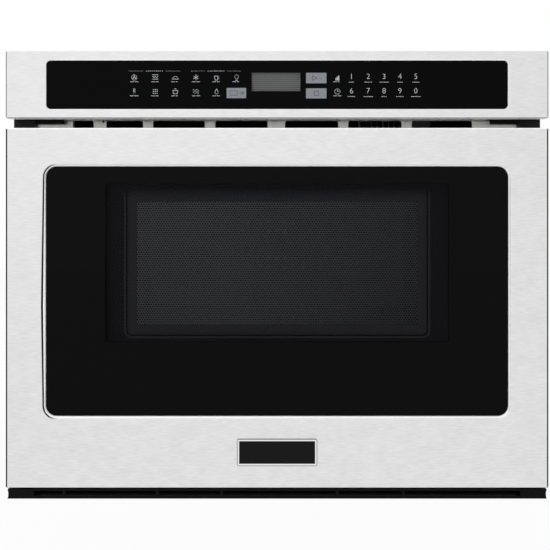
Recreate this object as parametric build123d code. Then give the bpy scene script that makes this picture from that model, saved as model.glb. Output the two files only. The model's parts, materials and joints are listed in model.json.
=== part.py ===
from build123d import *
from math import acos, ceil, cos, pi, radians, sin, tan
import os

# Built-in convection microwave drawer. Millimetres, +X to the right, front facing -Y, +Z up.
# The origin is at the middle of the outer box, on the underside of the intake grille.

# --- Overall --------------------------------------------------------------------------------------
WIDTH = 606.0  # stainless fronts, left to right
HEIGHT = 500.0  # underside of the intake grille to the top of the control panel
DEPTH = 594.0  # badge to cord inlet
TRAVEL = 381.0  # how far the drawer opens

# --- Sheets, gaps and glass -----------------------------------------------------------------------
SKIN = 1.2  # stainless front sheet
SHEET = 1.2  # chassis, cavity and drawer sheet
FLANGE_T = 1.5  # mounting flanges and brackets
SEAT = 0.3  # clearance of a piece dropped into its opening
GLASS_T = 4.0  # window glass and inner glass
EDGE_R = 2.0  # rounded outer edges of the stainless fronts
PRESS = 0.02  # clearance of a screw in its hole

# --- Front levels ---------------------------------------------------------------------------------
GRILLE_H = 10.5  # intake grille
GRILLE_GAP = 1.5  # between the grille and the drawer front
VENT_GAP = 10.5  # between the drawer front and the control panel
PANEL_H = 75.5  # control panel

# --- Drawer front ---------------------------------------------------------------------------------
PAN_D = 20.8  # folded stainless pan
PAN_LIP = 6.0  # return lip round the back of the pan
WINDOW_SIDE = 44.5  # edge of the front to the window, then the same below and above
WINDOW_BELOW = 80.0
WINDOW_ABOVE = 43.0
WINDOW_R = 12.0  # corner radius
HEM_R = 3.5  # rolled edge round the window
HEM_LAND = 0.3  # flat beyond the roll
GLASS_RECESS = 2.5
GLASS_FRAME_T = 4.0
GLASS_FRAME_RIM = 4.0  # how far the glass frame reaches behind the hem
PRINT_SIDE = 18.0  # clear area in the black print, beyond the screen's opening
PRINT_BELOW = 2.0
PRINT_ABOVE = 3.0
PRINT_MARGIN = 4.0
BADGE_W = 89.4
BADGE_H = 30.0
BADGE_UP = 40.0  # lower edge of the front to the middle of the badge
BADGE_PROUD = 1.5
BADGE_RIM = 2.2
BADGE_SINK = 0.7
SCREW_R = 1.6
SCREW_HEAD_R = 3.2
SCREW_HEAD_H = 1.8
SCREW_L = 6.0
DOOR_SCREW_SIDE = 33.0
DOOR_SCREW_END = 58.0
INNER_PANEL_SETIN = 2.0
BRACKET_FOOT = 15.0
BUMPER_R = 5.0
BUMPER_SIDE = 17.0
BUMPER_BELOW = 22.0
BUMPER_ABOVE = 18.0
HOOK_IN = 9.7  # outer member's back to the hook
HOOK_T = 3.0
HOOK_H = 20.0
HOOK_DOWN = 82.0  # ceiling of the cavity to the hook
HOOK_L = 42.0
HOOK_FOOT = 12.0
HOOK_NOTCH = (5.0, 10.5)  # from the hook's end

# --- Choke frame and screen -----------------------------------------------------------------------
SEAL = 24.0  # overlap of the choke frame on the front frame
CHOKE_GAP = 3.5  # between the glass frame and the choke frame
SEAL_GAP = 1.5  # between the choke frame and the front frame
SCREEN_T = 0.8
SCREEN_IN = 40.0  # cavity wall to the visible opening in front of the screen
SCREEN_UP = 15.0
SCREEN_DOWN = 33.5
SCREEN_R = 11.0
SCREEN_LAP = 8.0
CHOKE_WALL_IN = 24.0  # cavity wall to the inner wall of the choke channel
CHOKE_WALL_UP = 6.0
CHOKE_WALL_DOWN = 20.0
CHOKE_LIP = 17.0
GLASS_STOP_X = 10.0
GLASS_STOP_Z0 = 16.0
GLASS_STOP_Z1 = 10.0
CHOKE_COVER_T = 2.0
CHOKE_RING = 4.6  # mounting ring round the choke frame

# --- Chassis --------------------------------------------------------------------------------------
FLANGE_OVERLAP = 22.0  # mounting flange beyond the side plate
CHASSIS_SIDE = 24.0  # edge of the front to the side plate
CHASSIS_DOWN = 20.0  # top of the control panel to the top cover
FLANGE_GAP = 4.0  # closed drawer front to mounting flange
FRAME_SETBACK = 14.5  # cabinet face to front frame
FLANGE_RETURN = 32.5
MOUNT_OUT = 10.0  # side plate to the mounting holes
MOUNT_Z0 = 60.0
MOUNT_DOWN = 100.0
MOUNT_HOLE_R = 2.5
TURN_IN = 12.0  # turned edges of the side plates
INLET_PROUD = 3.0
INLET_BORE_R = 5.0
INLET_IN = 79.0
INLET_Z = 60.0
COVER_SCREW_UPS = [60.0, 200.0]
COVER_SCREW_DOWNS = [140.0, 40.0]
COVER_SCREW_YS = [-200.0, 0.0, 200.0]
COVER_SCREW_HEAD_R = 3.6
COVER_SCREW_HEAD_H = 2.0
SLOT_W = 4.0
SLOT_L = 40.0
SLOT_PITCH = 10.0
SLOT_COUNT = 8
REAR_VENT_COLS = 14
REAR_VENT_IN = 39.0
REAR_VENT_Z = 30.0
NOTCH_IN = 28.7  # outer member's back to the notch's inner edge
NOTCH_OUT = 2.3
NOTCH_BELOW = 4.0  # under the rack's pitch line
NOTCH_ABOVE = 27.0  # over the middle of the slide
HOOK_SLOT = 3.0
INTAKE_W = 50.0
INTAKE_Z0 = 24.0
INTAKE_Z1 = 44.0
INTAKE_XS = [-180.0, -110.0, -40.0, 40.0, 110.0, 180.0]
FRAME_VENT_IN = 44.0
FRAME_VENT_UP = 26.0  # over the drawer front
INLET_BODY_R = 9.0
INLET_HEAD_R = 14.0
INLET_INSIDE = 12.0

# --- Cavity and drawer box ------------------------------------------------------------------------
CAVITY_IN = 65.0  # outer face of the side plate to the cavity's wall
CAVITY_Z0 = 162.0
CAVITY_DOWN = 32.0  # top of the drawer front to the ceiling
CAVITY_REAR_ROOM = 119.8  # cavity to rear panel
BOX_SIDE_GAP = 8.0
BOX_FLOOR_GAP = 10.0
BOX_TOP_GAP = 10.0
BOX_REAR_GAP = 18.0
BOX_RIM = 5.0
BOX_FLANGE = 10.0
TRAY_T = 6.0
TRAY_GAP = 6.0

# --- Slides and drive -----------------------------------------------------------------------------
RAIL_IN = 19.3  # outer face of the side plate to the back of the outer member
RAIL_Z = 106.0
RAIL_W = 12.7
RAIL_H = 46.0
RAIL_T = 1.5
RAIL_L = 470.0
RAIL_START = 2.0  # front frame to the slide
BALL_R = 1.6
BALL_GAP = 0.2
BALLS = 9
CAGE_T = 0.8
CAGE_GAP = 0.45
CAGE_L = 230.0
CAGE_START = 100.3  # front of the slide to the ball cage
BALL_SIDE = 3.0  # from a member's web or flange end to the balls
DRAWER_BRACKET_T = 2.0
BRACKET_L = 470.0
MODULE = 1.5
PINION_TEETH = 16
PRESSURE = radians(20)
BACKLASH = 0.2
RACK_Z = 66.0  # pitch line
RACK_ADDENDUM = 0.9
DEDENDUM = 1.25
RACK_W = 12.0
RACK_BODY = 8.0
RACK_SPARE_TEETH = 5  # teeth past the pinion at each end of the travel
PINION_BACK = 35.3  # front of the slide to the pinion
PINION_W = 10.0
SHAFT_R = 4.0
MOTOR_PLATE_T = 2.0

# --- Vent plate, panel ----------------------------------------------------------------------------
VENT_PLATE_SETBACK = 7.5  # cabinet face to vent plate
VENT_PLATE_BELOW = 6.0  # from the top of the drawer front
VENT_PLATE_ABOVE = 36.0
VENT_SLOT_BELOW = 3.5
VENT_SLOT_ABOVE = 12.0
VENT_SLOT_R = 2.5
VENT_SLOTS = [(-235.5, 24.0), (-196.9, 42.3), (-143.0, 59.6), (-71.4, 60.5), (9.2, 61.4),
              (82.2, 61.6), (155.4, 69.6)]  # left end and length of each slot
VENT_HOLES = [-243.5, -200.4]
VENT_HOLE_DOWN = 1.0
VENT_HOLE_R = 1.5
PANEL_D = 24.0  # face to the back of the housing
TRIM_D = 10.0  # folded edge of the trim
TOUCH_SIDE = 45.5  # edge of the panel to the touch glass, then the same below and above
TOUCH_BELOW = 10.5
TOUCH_ABOVE = 11.0
TOUCH_R = 4.8
TOUCH_T = 3.0
TOUCH_RECESS = 1.0
TOUCH_HEM_R = 1.2
DISPLAY_W = 54.7
DISPLAY_H = 21.2
DISPLAY_X = -1.2
DISPLAY_UP = 30.6
GRILLE_SETBACK = 1.0
GRILLE_T = 2.0
GRILLE_FLOOR = 1.5
GRILLE_BACK = 6.0  # height of the low rear wall
GRILLE_RIBS = [-238.0, -134.0, -62.0, 67.0, 141.0]
GRILLE_RIB_W = 3.0
GRILLE_SLOT_H = 5.6
GRILLE_END = 28.0
GRILLE_BITE = 0.9
GRILLE_BITE_R = 16.0

# --- Drawer box -----------------------------------------------------------------------------------
PERF_COLS = 11
PERF_ROWS = 6
PERF_PITCH = 14.0
PERF_R = 4.0

# --- Drive ----------------------------------------------------------------------------------------
GEARBOX_L = 58.0
GEARBOX_HALF = 28.0
MOTOR_L = 62.0
MOTOR_R = 21.0
SHAFT_PLAY = 0.05
PLATE_GAP = 3.0

# --- Control panel --------------------------------------------------------------------------------
HOUSING_WALL = 2.0
HOUSING_START = 6.0
HOUSING_INSET = 4.0  # from the trim's upper and lower edge
SENSOR_T = 1.6
DISPLAY_D = 8.0
DISPLAY_RIM = 3.0
PANEL_LUG_IN = 36.0
PANEL_LUG_UP = 7.0
PANEL_LUG_DOWN = 4.0

# --- Cavity ---------------------------------------------------------------------------------------
FAN_RISE = 5.0  # over the middle of the cavity
FAN_HOLE_R = 80.0
STIRRER_X = 0.0
STIRRER_BACK = 212.3
STIRRER_HOLE_R = 42.0
STIRRER_R = 38.0
LAMP_IN = 39.0
LAMP_BACK = 70.0  # behind the stirrer
LAMP_R = 20.0
HEATER_R = 3.25
HEATER_X = 110.0
HEATER_BACK = 82.3
HEATER_BEND = 40.0
HEATER_TAIL = 22.0
FERRULE_T = 0.5  # sleeve over a sharp bend
HEATER_DROP = 4.0
HEATER_PLAY = 0.3
CLIP_FRONT = 70.0
CLIP_REAR = 53.0
CLIP_W = 12.0
CLIP_T = 2.0
STEAM_HOLES = 5
STEAM_IN = 34.0
STEAM_BACK = 52.3
LENS_T = 2.0
LENS_LAP = 4.0
LAMP_BOX = 25.0
LAMP_BOX_H = 42.0
BULB_R = 9.0
BULB_L = 26.0
SOCKET_H = 9.0

# --- Convection fan -------------------------------------------------------------------------------
FAN_R = 62.0
FAN_VANES = 12
FAN_VANE_D = 18.0
FAN_DISC_T = 1.2
FAN_BACK = 15.8  # rear wall to the front of the impeller
FAN_HUB_R = 9.0
FAN_VANE_R0 = 28.0  # inner ends of the vanes
FAN_HOUSING_HALF = 98.0
FAN_HOUSING_D = 40.0
FAN_COVER_LAP = 12.0
FAN_COVER_T = 1.0
FAN_COVER_HOLES = [(12, 24.0), (20, 42.0), (28, 60.0)]  # holes in each ring and the ring's radius
FAN_MOTOR_R = 34.0
FAN_MOTOR_L = 42.0
RING_HEATER_R = 76.0
RING_HEATER_GAP = 24.0  # degrees left open between its terminals
SHAFT_HOLE_R = 6.0

# --- Microwave supply -----------------------------------------------------------------------------
GUIDE_X0 = -55.0
GUIDE_X1 = 110.0
GUIDE_D = 90.0
GUIDE_H = 69.0
ANTENNA_R = 8.0
ANTENNA_L = 16.0
ANTENNA_HOLE = 1.5
STIRRER_COVER_R = 50.0
STIRRER_COVER_T = 1.0
STIRRER_LIFT = 8.0
STIRRER_HUB_R = 7.0
STIRRER_BLADES = 4
STIRRER_BLADE_W = 20.0
STIRRER_TILT = 20.0
STIRRER_MOTOR_R = 24.0
STIRRER_MOTOR_H = 18.0
STIRRER_SHAFT_R = 3.0
MAG_LEN = 72.0
MAG_H = 80.0
MAG_WALL = 2.0
MAGNET_R = 27.0
MAGNET_T = 12.0
ANODE_R = 20.0
FINS = 6
FIN_T = 1.0
FILTER_L = 26.0
CORE_X = -60.0
CORE_Y = -160.0
CORE_W = 92.0
CORE_D = 64.0
CORE_H = 78.0
CORE_LEG = 16.0
COIL_BULGE = 14.0
COIL_GAP = 3.0
CAP_X = 60.0
CAP_Y = -150.0
CAP_W = 52.0
CAP_D = 32.0
CAP_H = 86.0
CAP_TERMINAL_H = 9.0
CAP_BAND = 14.0
DIODE_X = 112.0
DIODE_L = 22.0
DIODE_W = 8.0
DIODE_H = 7.0
DIODE_TAB_L = 12.0
DIODE_TAB_W = 2.0

# --- Cooling --------------------------------------------------------------------------------------
AIR_W = 120.0
AIR_GAP = 5.0  # to the drawer bracket
AIR_BACK = 5.8  # rear wall of the cavity to the duct
AIR_DOWN = 50.0
AIR_WALL = 1.5
BLOWER_Z0 = 58.0
BLOWER_H = 40.0
BLOWER_R = 50.0
BLOWER_GAP = 2.5
BLOWER_HUB_R = 19.0
BLOWER_BLADES = 7
BLOWER_CHORD = 26.0
BLOWER_PITCH = 35.0
BLOWER_LEG = 8.0
BLOWER_ARM = 6.0
BLOWER_MOTOR_R = 18.0
BLOWER_MOTOR_H = 24.0

# --- Electrics ------------------------------------------------------------------------------------
BOARD_T = 1.6
BOARD_X0 = 40.0
BOARD_X1 = 200.0
BOARD_BACK = 80.0  # stirrer to the board
BOARD_D = 120.0
BOARD_LIFT = 8.0
POST_R = 3.0
POST_IN = 8.0
FILTER_BOARD_IN = 80.0
FILTER_BOARD_FRONT = 102.8
FILTER_BOARD_W = 72.0
FILTER_BOARD_D = 76.0
# Larger parts on the boards: corner from the board's corner, then width, depth and height.
POWER_PARTS = [(14, 14, 40, 34, 30), (64, 14, 20, 16, 16), (90, 14, 20, 16, 16), (116, 14, 20, 16, 16),
               (20, 66, 24, 24, 26), (60, 60, 60, 12, 22), (60, 84, 14, 14, 20)]
FILTER_PARTS = [(12, 12, 30, 30, 26), (50, 12, 12, 26, 20), (14, 52, 44, 8, 8)]
SWITCH_W = 12.0
SWITCH_D = 24.0
SWITCH_H = 44.0

# --- Worked out from the sizes above --------------------------------------------------------------
FACE_Y = -DEPTH / 2 + BADGE_PROUD
BACK_Y = DEPTH / 2 - INLET_PROUD


def at(depth):
    """Y of a plane that lies depth behind the stainless face."""
    return FACE_Y + depth


PANEL_Z0 = HEIGHT - PANEL_H
DOOR_Z0 = GRILLE_H + GRILLE_GAP
DOOR_Z1 = PANEL_Z0 - VENT_GAP
WINDOW_W = WIDTH - 2 * WINDOW_SIDE
WINDOW_Z0 = DOOR_Z0 + WINDOW_BELOW
WINDOW_H = DOOR_Z1 - WINDOW_ABOVE - WINDOW_Z0
BADGE_Z = DOOR_Z0 + BADGE_UP
CHASSIS_HALF_W = WIDTH / 2 - CHASSIS_SIDE
CHASSIS_TOP = HEIGHT - CHASSIS_DOWN
CAVITY_HALF_W = CHASSIS_HALF_W - CAVITY_IN
CAVITY_Z1 = DOOR_Z1 - CAVITY_DOWN
CHOKE_WALL_X = CAVITY_HALF_W - CHOKE_WALL_IN
CHOKE_WALL_Z0 = CAVITY_Z0 + CHOKE_WALL_UP
CHOKE_WALL_Z1 = CAVITY_Z1 - CHOKE_WALL_DOWN
SCREEN_HALF_W = CAVITY_HALF_W - SCREEN_IN
SCREEN_Z0 = CAVITY_Z0 + SCREEN_UP
SCREEN_Z1 = CAVITY_Z1 - SCREEN_DOWN
PRINT_HALF_W = SCREEN_HALF_W + PRINT_SIDE
PRINT_Z0 = SCREEN_Z0 - PRINT_BELOW
PRINT_Z1 = SCREEN_Z1 + PRINT_ABOVE
RAIL_X = CHASSIS_HALF_W - RAIL_IN
HOOK_X = RAIL_X - HOOK_IN
HOOK_Z = CAVITY_Z1 - HOOK_DOWN
BUMPER_X = WIDTH / 2 - BUMPER_SIDE
BUMPER_ZS = [DOOR_Z0 + BUMPER_BELOW, DOOR_Z1 - BUMPER_ABOVE]
DOOR_SCREW_X = WIDTH / 2 - DOOR_SCREW_SIDE
DOOR_SCREW_ZS = [DOOR_Z0 + DOOR_SCREW_END, (DOOR_Z0 + DOOR_Z1) / 2, DOOR_Z1 - DOOR_SCREW_END]
MOUNT_X = CHASSIS_HALF_W + MOUNT_OUT
MOUNT_Z1 = CHASSIS_TOP - MOUNT_DOWN
INLET_X = CHASSIS_HALF_W - INLET_IN
COVER_SCREW_ZS = COVER_SCREW_UPS + [CHASSIS_TOP - down for down in COVER_SCREW_DOWNS]
REAR_VENT_X = -CHASSIS_HALF_W + REAR_VENT_IN
NOTCH_X0 = RAIL_X - NOTCH_IN
NOTCH_X1 = RAIL_X + NOTCH_OUT
NOTCH_Z0 = RACK_Z - NOTCH_BELOW
NOTCH_Z1 = RAIL_Z + NOTCH_ABOVE
FRAME_VENT_X = CHASSIS_HALF_W - FRAME_VENT_IN
FRAME_VENT_Z1 = DOOR_Z1 + FRAME_VENT_UP
VENT_PLATE_Z0 = DOOR_Z1 - VENT_PLATE_BELOW
VENT_PLATE_Z1 = DOOR_Z1 + VENT_PLATE_ABOVE
VENT_SLOT_Z0 = DOOR_Z1 - VENT_SLOT_BELOW
VENT_SLOT_Z1 = DOOR_Z1 + VENT_SLOT_ABOVE
VENT_HOLE_Z = VENT_SLOT_Z1 - VENT_HOLE_DOWN
TOUCH_W = WIDTH - 2 * TOUCH_SIDE
TOUCH_Z0 = PANEL_Z0 + TOUCH_BELOW
TOUCH_H = PANEL_H - TOUCH_BELOW - TOUCH_ABOVE
DISPLAY_Z = TOUCH_Z0 + DISPLAY_UP
PANEL_LUG_X = CHASSIS_HALF_W - PANEL_LUG_IN
PANEL_LUG_Z0 = DOOR_Z1 + PANEL_LUG_UP
PANEL_LUG_Z1 = CHASSIS_TOP - PANEL_LUG_DOWN
FAN_Z = (CAVITY_Z0 + CAVITY_Z1) / 2 + FAN_RISE
LAMP_X = -CAVITY_HALF_W + LAMP_IN
STEAM_X = -CAVITY_HALF_W + STEAM_IN
AIR_Z1 = CHASSIS_TOP - AIR_DOWN
GLASS_BACK = GLASS_RECESS + GLASS_T
GLASS_FRAME_BACK = GLASS_BACK + GLASS_FRAME_T
CHOKE_FRONT = GLASS_FRAME_BACK + CHOKE_GAP
DOOR_BACK = PAN_D + SHEET
FLANGE_FRONT = DOOR_BACK + FLANGE_GAP
CABINET = FLANGE_FRONT + FLANGE_T  # the cabinet's face
FRAME_FRONT = CABINET + FRAME_SETBACK
FRAME_BACK = FRAME_FRONT + SHEET
SEAL_FACE = FRAME_FRONT - SEAL_GAP
VENT_PLATE = CABINET + VENT_PLATE_SETBACK
SIDE_X = CHASSIS_HALF_W - SHEET  # inner face of the side plates
REAR_Y = BACK_Y - SHEET  # inner face of the rear panel
FLOOR_Z = GRILLE_H + SHEET  # top of the base pan
ROOF_Z = CHASSIS_TOP - SHEET  # underside of the top cover
CAVITY_Y0 = at(FRAME_BACK)
CAVITY_Y1 = REAR_Y - CAVITY_REAR_ROOM
CAVITY_TOP = CAVITY_Z1 + SHEET
CAVITY_REAR = CAVITY_Y1 + SHEET
STIRRER_Y = CAVITY_Y0 + STIRRER_BACK
GUIDE_Y0 = STIRRER_Y - GUIDE_D / 2
GUIDE_Y1 = STIRRER_Y + GUIDE_D / 2
LAMP_Y = STIRRER_Y + LAMP_BACK
HEATER_Y0 = CAVITY_Y0 + HEATER_BACK
CLIP_YS = [HEATER_Y0 + CLIP_FRONT, CAVITY_Y1 - CLIP_REAR]
STEAM_Y = CAVITY_Y0 + STEAM_BACK
FAN_Y = CAVITY_REAR + FAN_BACK
AIR_Y0 = CAVITY_REAR + AIR_BACK
BOARD_Y0 = STIRRER_Y + BOARD_BACK
BOARD_Y1 = BOARD_Y0 + BOARD_D
FILTER_BOARD_X0 = INLET_X - FILTER_BOARD_IN
FILTER_BOARD_Y0 = REAR_Y - FILTER_BOARD_FRONT
BOX_X = CAVITY_HALF_W - BOX_SIDE_GAP
BOX_Z0 = CAVITY_Z0 + BOX_FLOOR_GAP
BOX_Z1 = CAVITY_Z1 - BOX_TOP_GAP
BOX_Y0 = at(SEAL_FACE)
BOX_Y1 = CAVITY_Y1 - BOX_REAR_GAP
FLANGE_X = CHASSIS_HALF_W + FLANGE_OVERLAP
CHOKE_X = CAVITY_HALF_W + SEAL
CHOKE_Z0 = CAVITY_Z0 - SEAL
CHOKE_Z1 = CAVITY_Z1 + SEAL
LIP_MID = SKIN + PAN_LIP / 2
DOOR_SCREWS = [(side * (WIDTH / 2 - LIP_MID), z) for side in (-1, 1) for z in DOOR_SCREW_ZS]
DOOR_SCREWS += [(side * DOOR_SCREW_X, z) for side in (-1, 1)
                for z in (DOOR_Z0 + LIP_MID, DOOR_Z1 - LIP_MID)]
RAIL_Y0 = CAVITY_Y0 + RAIL_START
CAGE_Y0 = RAIL_Y0 + CAGE_START
PINION_Y = RAIL_Y0 + PINION_BACK
BALL_SPACE = 2 * (BALL_R + BALL_GAP)
OUTER_HALF = RAIL_H / 2
MIDDLE_HALF = OUTER_HALF - RAIL_T - BALL_SPACE
INNER_HALF = MIDDLE_HALF - RAIL_T - BALL_SPACE
CAGE_ROOM = CAGE_T + 2 * CAGE_GAP
MIDDLE_AT = RAIL_T + CAGE_ROOM  # web of the middle member, from the back of the outer one
INNER_AT = MIDDLE_AT + RAIL_T + CAGE_ROOM  # flange ends of the inner member
FLANGE_REACH = RAIL_W - 2.0
BRACKET_X = RAIL_X - RAIL_W  # drawer bracket's outer face
PITCH = pi * MODULE
PITCH_R = MODULE * PINION_TEETH / 2
PINION_Z = RACK_Z - PITCH_R
RACK_TEETH = 2 * RACK_SPARE_TEETH + ceil(TRAVEL / PITCH)
RACK_X1 = BRACKET_X - DRAWER_BRACKET_T
PINION_X = RACK_X1 - RACK_W / 2
TOOTH_HALF = (PITCH / 2 - BACKLASH / 2) / 2  # half a tooth at the pitch line
MOTOR_FACE = PINION_X - PINION_W / 2 - PLATE_GAP - MOTOR_PLATE_T  # gearbox face, on the motor bracket
HEATER_Z = CAVITY_Z1 - HEATER_DROP
HOUSING_REAR = CAVITY_REAR + FAN_HOUSING_D
RING_HALF_GAP = radians(RING_HEATER_GAP / 2)
RING_TAIL_X = RING_HEATER_R * sin(RING_HALF_GAP)
RING_TAIL_Z = FAN_Z - RING_HEATER_R * cos(RING_HALF_GAP)
RING_HEATER_Y = FAN_Y + FAN_VANE_D / 2
GUIDE_TOP = CAVITY_TOP + GUIDE_H
MAG_Z0 = CAVITY_TOP + 2.0
MAG_X0 = GUIDE_X1 + MAG_WALL
MAG_X1 = MAG_X0 + MAG_LEN
MAG_Y0 = GUIDE_Y0
MAG_Y1 = GUIDE_Y1
MAG_Y = (MAG_Y0 + MAG_Y1) / 2
MAG_Z = MAG_Z0 + MAG_H / 2
AIR_X0 = -BRACKET_X + DRAWER_BRACKET_T + AIR_GAP
AIR_X1 = AIR_X0 + AIR_W
AIR_Y1 = REAR_Y - SEAT
BLOWER_X = (AIR_X0 + AIR_X1) / 2
BLOWER_Y = (AIR_Y0 + AIR_Y1) / 2
AIR_Z0 = BLOWER_Z0 + BLOWER_H


# --- Shared shapes --------------------------------------------------------------------------------
def block(x0, x1, y0, y1, z0, z1):
    """A box between two corners."""
    centre = Pos((x0 + x1) / 2, (y0 + y1) / 2, (z0 + z1) / 2)
    return centre * Box(abs(x1 - x0), abs(y1 - y0), abs(z1 - z0))


def front_slab(sketch, y0, y1):
    """A sketch drawn in X and Z, given depth from y0 to y1."""
    return Pos(0, y1, 0) * Rot(X=90) * extrude(sketch, y1 - y0)


def side_slab(sketch, x0, x1):
    """A sketch drawn in Y and Z, given width from x0 to x1."""
    return Pos(x0, 0, 0) * Plane.YZ.location * extrude(sketch, x1 - x0)


def flat_slab(sketch, z0, z1):
    """A sketch drawn in X and Y, given height from z0 to z1."""
    return Pos(0, 0, z0) * extrude(sketch, z1 - z0)


def window(half_w, z0, z1, r, x=0.0):
    """A rounded rectangle in X and Z."""
    return Pos(x, (z0 + z1) / 2) * RectangleRounded(2 * half_w, z1 - z0, r)


def ring(half_w, z0, z1, wall, y0, y1):
    """A rectangular frame of one wall width, lying in X and Z."""
    outer = block(-half_w, half_w, y0, y1, z0, z1)
    return outer - block(-half_w + wall, half_w - wall, y0, y1, z0 + wall, z1 - wall)


def rod_x(x0, x1, y, z, r):
    """A round bar along X."""
    return Pos((x0 + x1) / 2, y, z) * Rot(Y=90) * Cylinder(r, abs(x1 - x0))


def rod_y(y0, y1, x, z, r):
    """A round bar along Y."""
    return Pos(x, (y0 + y1) / 2, z) * Rot(X=90) * Cylinder(r, abs(y1 - y0))


def rod_z(z0, z1, x, y, r):
    """A round bar along Z."""
    return Pos(x, y, (z0 + z1) / 2) * Cylinder(r, abs(z1 - z0))


def mirrored(shape):
    """The same piece on the other side of the drawer."""
    return mirror(shape, Plane.YZ)


def group(shapes):
    """Several separate solids as one node."""
    return Compound(children=list(shapes))


def pair(shape):
    """A right-hand piece and its mirror image on the left."""
    return group([shape, mirrored(shape)])


def folded_front(z0, z1, depth, opening, hem_r, hem_d):
    """A stainless front: a pan open at the back, with a rolled hem round its opening."""
    half_w = WIDTH / 2
    pan = block(-half_w, half_w, at(0), at(depth), z0, z1)
    pan = fillet(pan.edges().filter_by(Axis.Y), EDGE_R)
    front = pan.faces().sort_by(Axis.Y)[0]
    pan = fillet(front.edges(), EDGE_R * 0.9)
    inside = half_w - SKIN
    pan -= block(-inside, inside, at(SKIN), at(depth), z0 + SKIN, z1 - SKIN)
    opening_half_w, o0, o1, r = opening
    wall = hem_r + HEM_LAND
    outer = window(opening_half_w + wall, o0 - wall, o1 + wall, r + wall)
    pan += front_slab(outer, at(0), at(hem_d))
    pan -= front_slab(window(opening_half_w, o0, o1, r), at(0), at(hem_d))
    reach = opening_half_w + 1.0
    roll = [e for e in pan.edges().filter_by_position(Axis.Y, at(0) - 0.01, at(0) + 0.01)
            if abs(e.center().X) < reach and o0 - 1 < e.center().Z < o1 + 1]
    return fillet(roll, hem_r)


# --- Drawer front ---------------------------------------------------------------------------------
def door_frame():
    """Folded stainless pan with the rolled window opening and a return lip at the back."""
    opening = (WINDOW_W / 2, WINDOW_Z0, WINDOW_Z0 + WINDOW_H, WINDOW_R)
    pan = folded_front(DOOR_Z0, DOOR_Z1, PAN_D, opening, HEM_R, GLASS_BACK)
    pan += ring(WIDTH / 2 - SKIN, DOOR_Z0 + SKIN, DOOR_Z1 - SKIN, PAN_LIP, at(PAN_D - SHEET), at(PAN_D))
    for x, z in DOOR_SCREWS:
        pan -= rod_y(at(PAN_D - SHEET), at(PAN_D), x, z, SCREW_R + PRESS)
    return pan


def door_screws():
    """Screws that hold the inner panel on the pan's lip."""
    back = at(DOOR_BACK)
    return group(
        rod_y(back, back + SCREW_HEAD_H, x, z, SCREW_HEAD_R) + rod_y(back - SCREW_L, back, x, z, SCREW_R)
        for x, z in DOOR_SCREWS)


def door_glass():
    """Window glass, seated in the rolled hem."""
    sketch = window(WINDOW_W / 2 - SEAT, WINDOW_Z0 + SEAT, WINDOW_Z0 + WINDOW_H - SEAT, WINDOW_R - SEAT)
    return front_slab(sketch, at(GLASS_RECESS), at(GLASS_BACK))


def glass_frame():
    """Black plastic frame that holds the glass against the hem."""
    wall = HEM_R + HEM_LAND + GLASS_FRAME_RIM
    z0 = WINDOW_Z0 - wall
    z1 = WINDOW_Z0 + WINDOW_H + wall
    outer = window(WINDOW_W / 2 + wall, z0, z1, WINDOW_R + wall)
    clear = window(PRINT_HALF_W + PRINT_MARGIN, PRINT_Z0 - PRINT_MARGIN, PRINT_Z1 + PRINT_MARGIN, SCREEN_R)
    return front_slab(outer - clear, at(GLASS_BACK), at(GLASS_FRAME_BACK))


def door_screen():
    """Screen plate that keeps the microwaves in, behind the choke frame's opening."""
    half_w = SCREEN_HALF_W + SCREEN_LAP
    sketch = window(half_w, SCREEN_Z0 - SCREEN_LAP / 2, SCREEN_Z1 + SCREEN_LAP, SCREEN_R)
    return front_slab(sketch, at(CHOKE_FRONT + SHEET), at(CHOKE_FRONT + SHEET + SCREEN_T))


def choke_frame():
    """Pressed steel frame: front web, outer wall, inner wall and rear lip form the choke channel."""
    y0 = at(CHOKE_FRONT)
    y1 = at(SEAL_FACE)
    web = block(-CHOKE_X, CHOKE_X, y0, y0 + SHEET, CHOKE_Z0, CHOKE_Z1)
    web -= front_slab(window(SCREEN_HALF_W, SCREEN_Z0, SCREEN_Z1, SCREEN_R), y0, y0 + SHEET)
    frame = web + ring(CHOKE_X, CHOKE_Z0, CHOKE_Z1, SHEET, y0, y1)
    frame += ring(CHOKE_WALL_X + SHEET, CHOKE_WALL_Z0 - SHEET, CHOKE_WALL_Z1 + SHEET, SHEET, y0, y1)
    lip = block(-CHOKE_WALL_X - CHOKE_LIP, CHOKE_WALL_X + CHOKE_LIP, y1 - SHEET, y1,
                CHOKE_WALL_Z0 - CHOKE_LIP + 4 * SHEET, CHOKE_WALL_Z1 + CHOKE_LIP)
    lip -= block(-CHOKE_WALL_X + GLASS_STOP_X, CHOKE_WALL_X - GLASS_STOP_X, y1 - SHEET, y1,
                 CHOKE_WALL_Z0 + GLASS_STOP_Z0, CHOKE_WALL_Z1 - GLASS_STOP_Z1)
    frame += lip
    outer = block(-CHOKE_X - CHOKE_RING, CHOKE_X + CHOKE_RING, at(DOOR_BACK), at(DOOR_BACK) + SHEET,
                  CHOKE_Z0 - CHOKE_RING, CHOKE_Z1 + CHOKE_RING)
    outer -= block(-CHOKE_X + SHEET, CHOKE_X - SHEET, at(DOOR_BACK), at(DOOR_BACK) + SHEET,
                   CHOKE_Z0 + SHEET, CHOKE_Z1 - SHEET)
    return frame + outer


def choke_cover():
    """Plastic strip that closes the choke channel towards the cavity."""
    y1 = at(SEAL_FACE)
    gap = SHEET + SEAT
    cover = block(-CHOKE_X + gap, CHOKE_X - gap, y1 - CHOKE_COVER_T, y1, CHOKE_Z0 + gap, CHOKE_Z1 - gap)
    edge = CHOKE_WALL_X + CHOKE_LIP + SEAT
    return cover - block(-edge, edge, y1 - CHOKE_COVER_T, y1,
                         CHOKE_WALL_Z0 - CHOKE_LIP + 4 * SHEET - SEAT, CHOKE_WALL_Z1 + CHOKE_LIP + SEAT)


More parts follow.
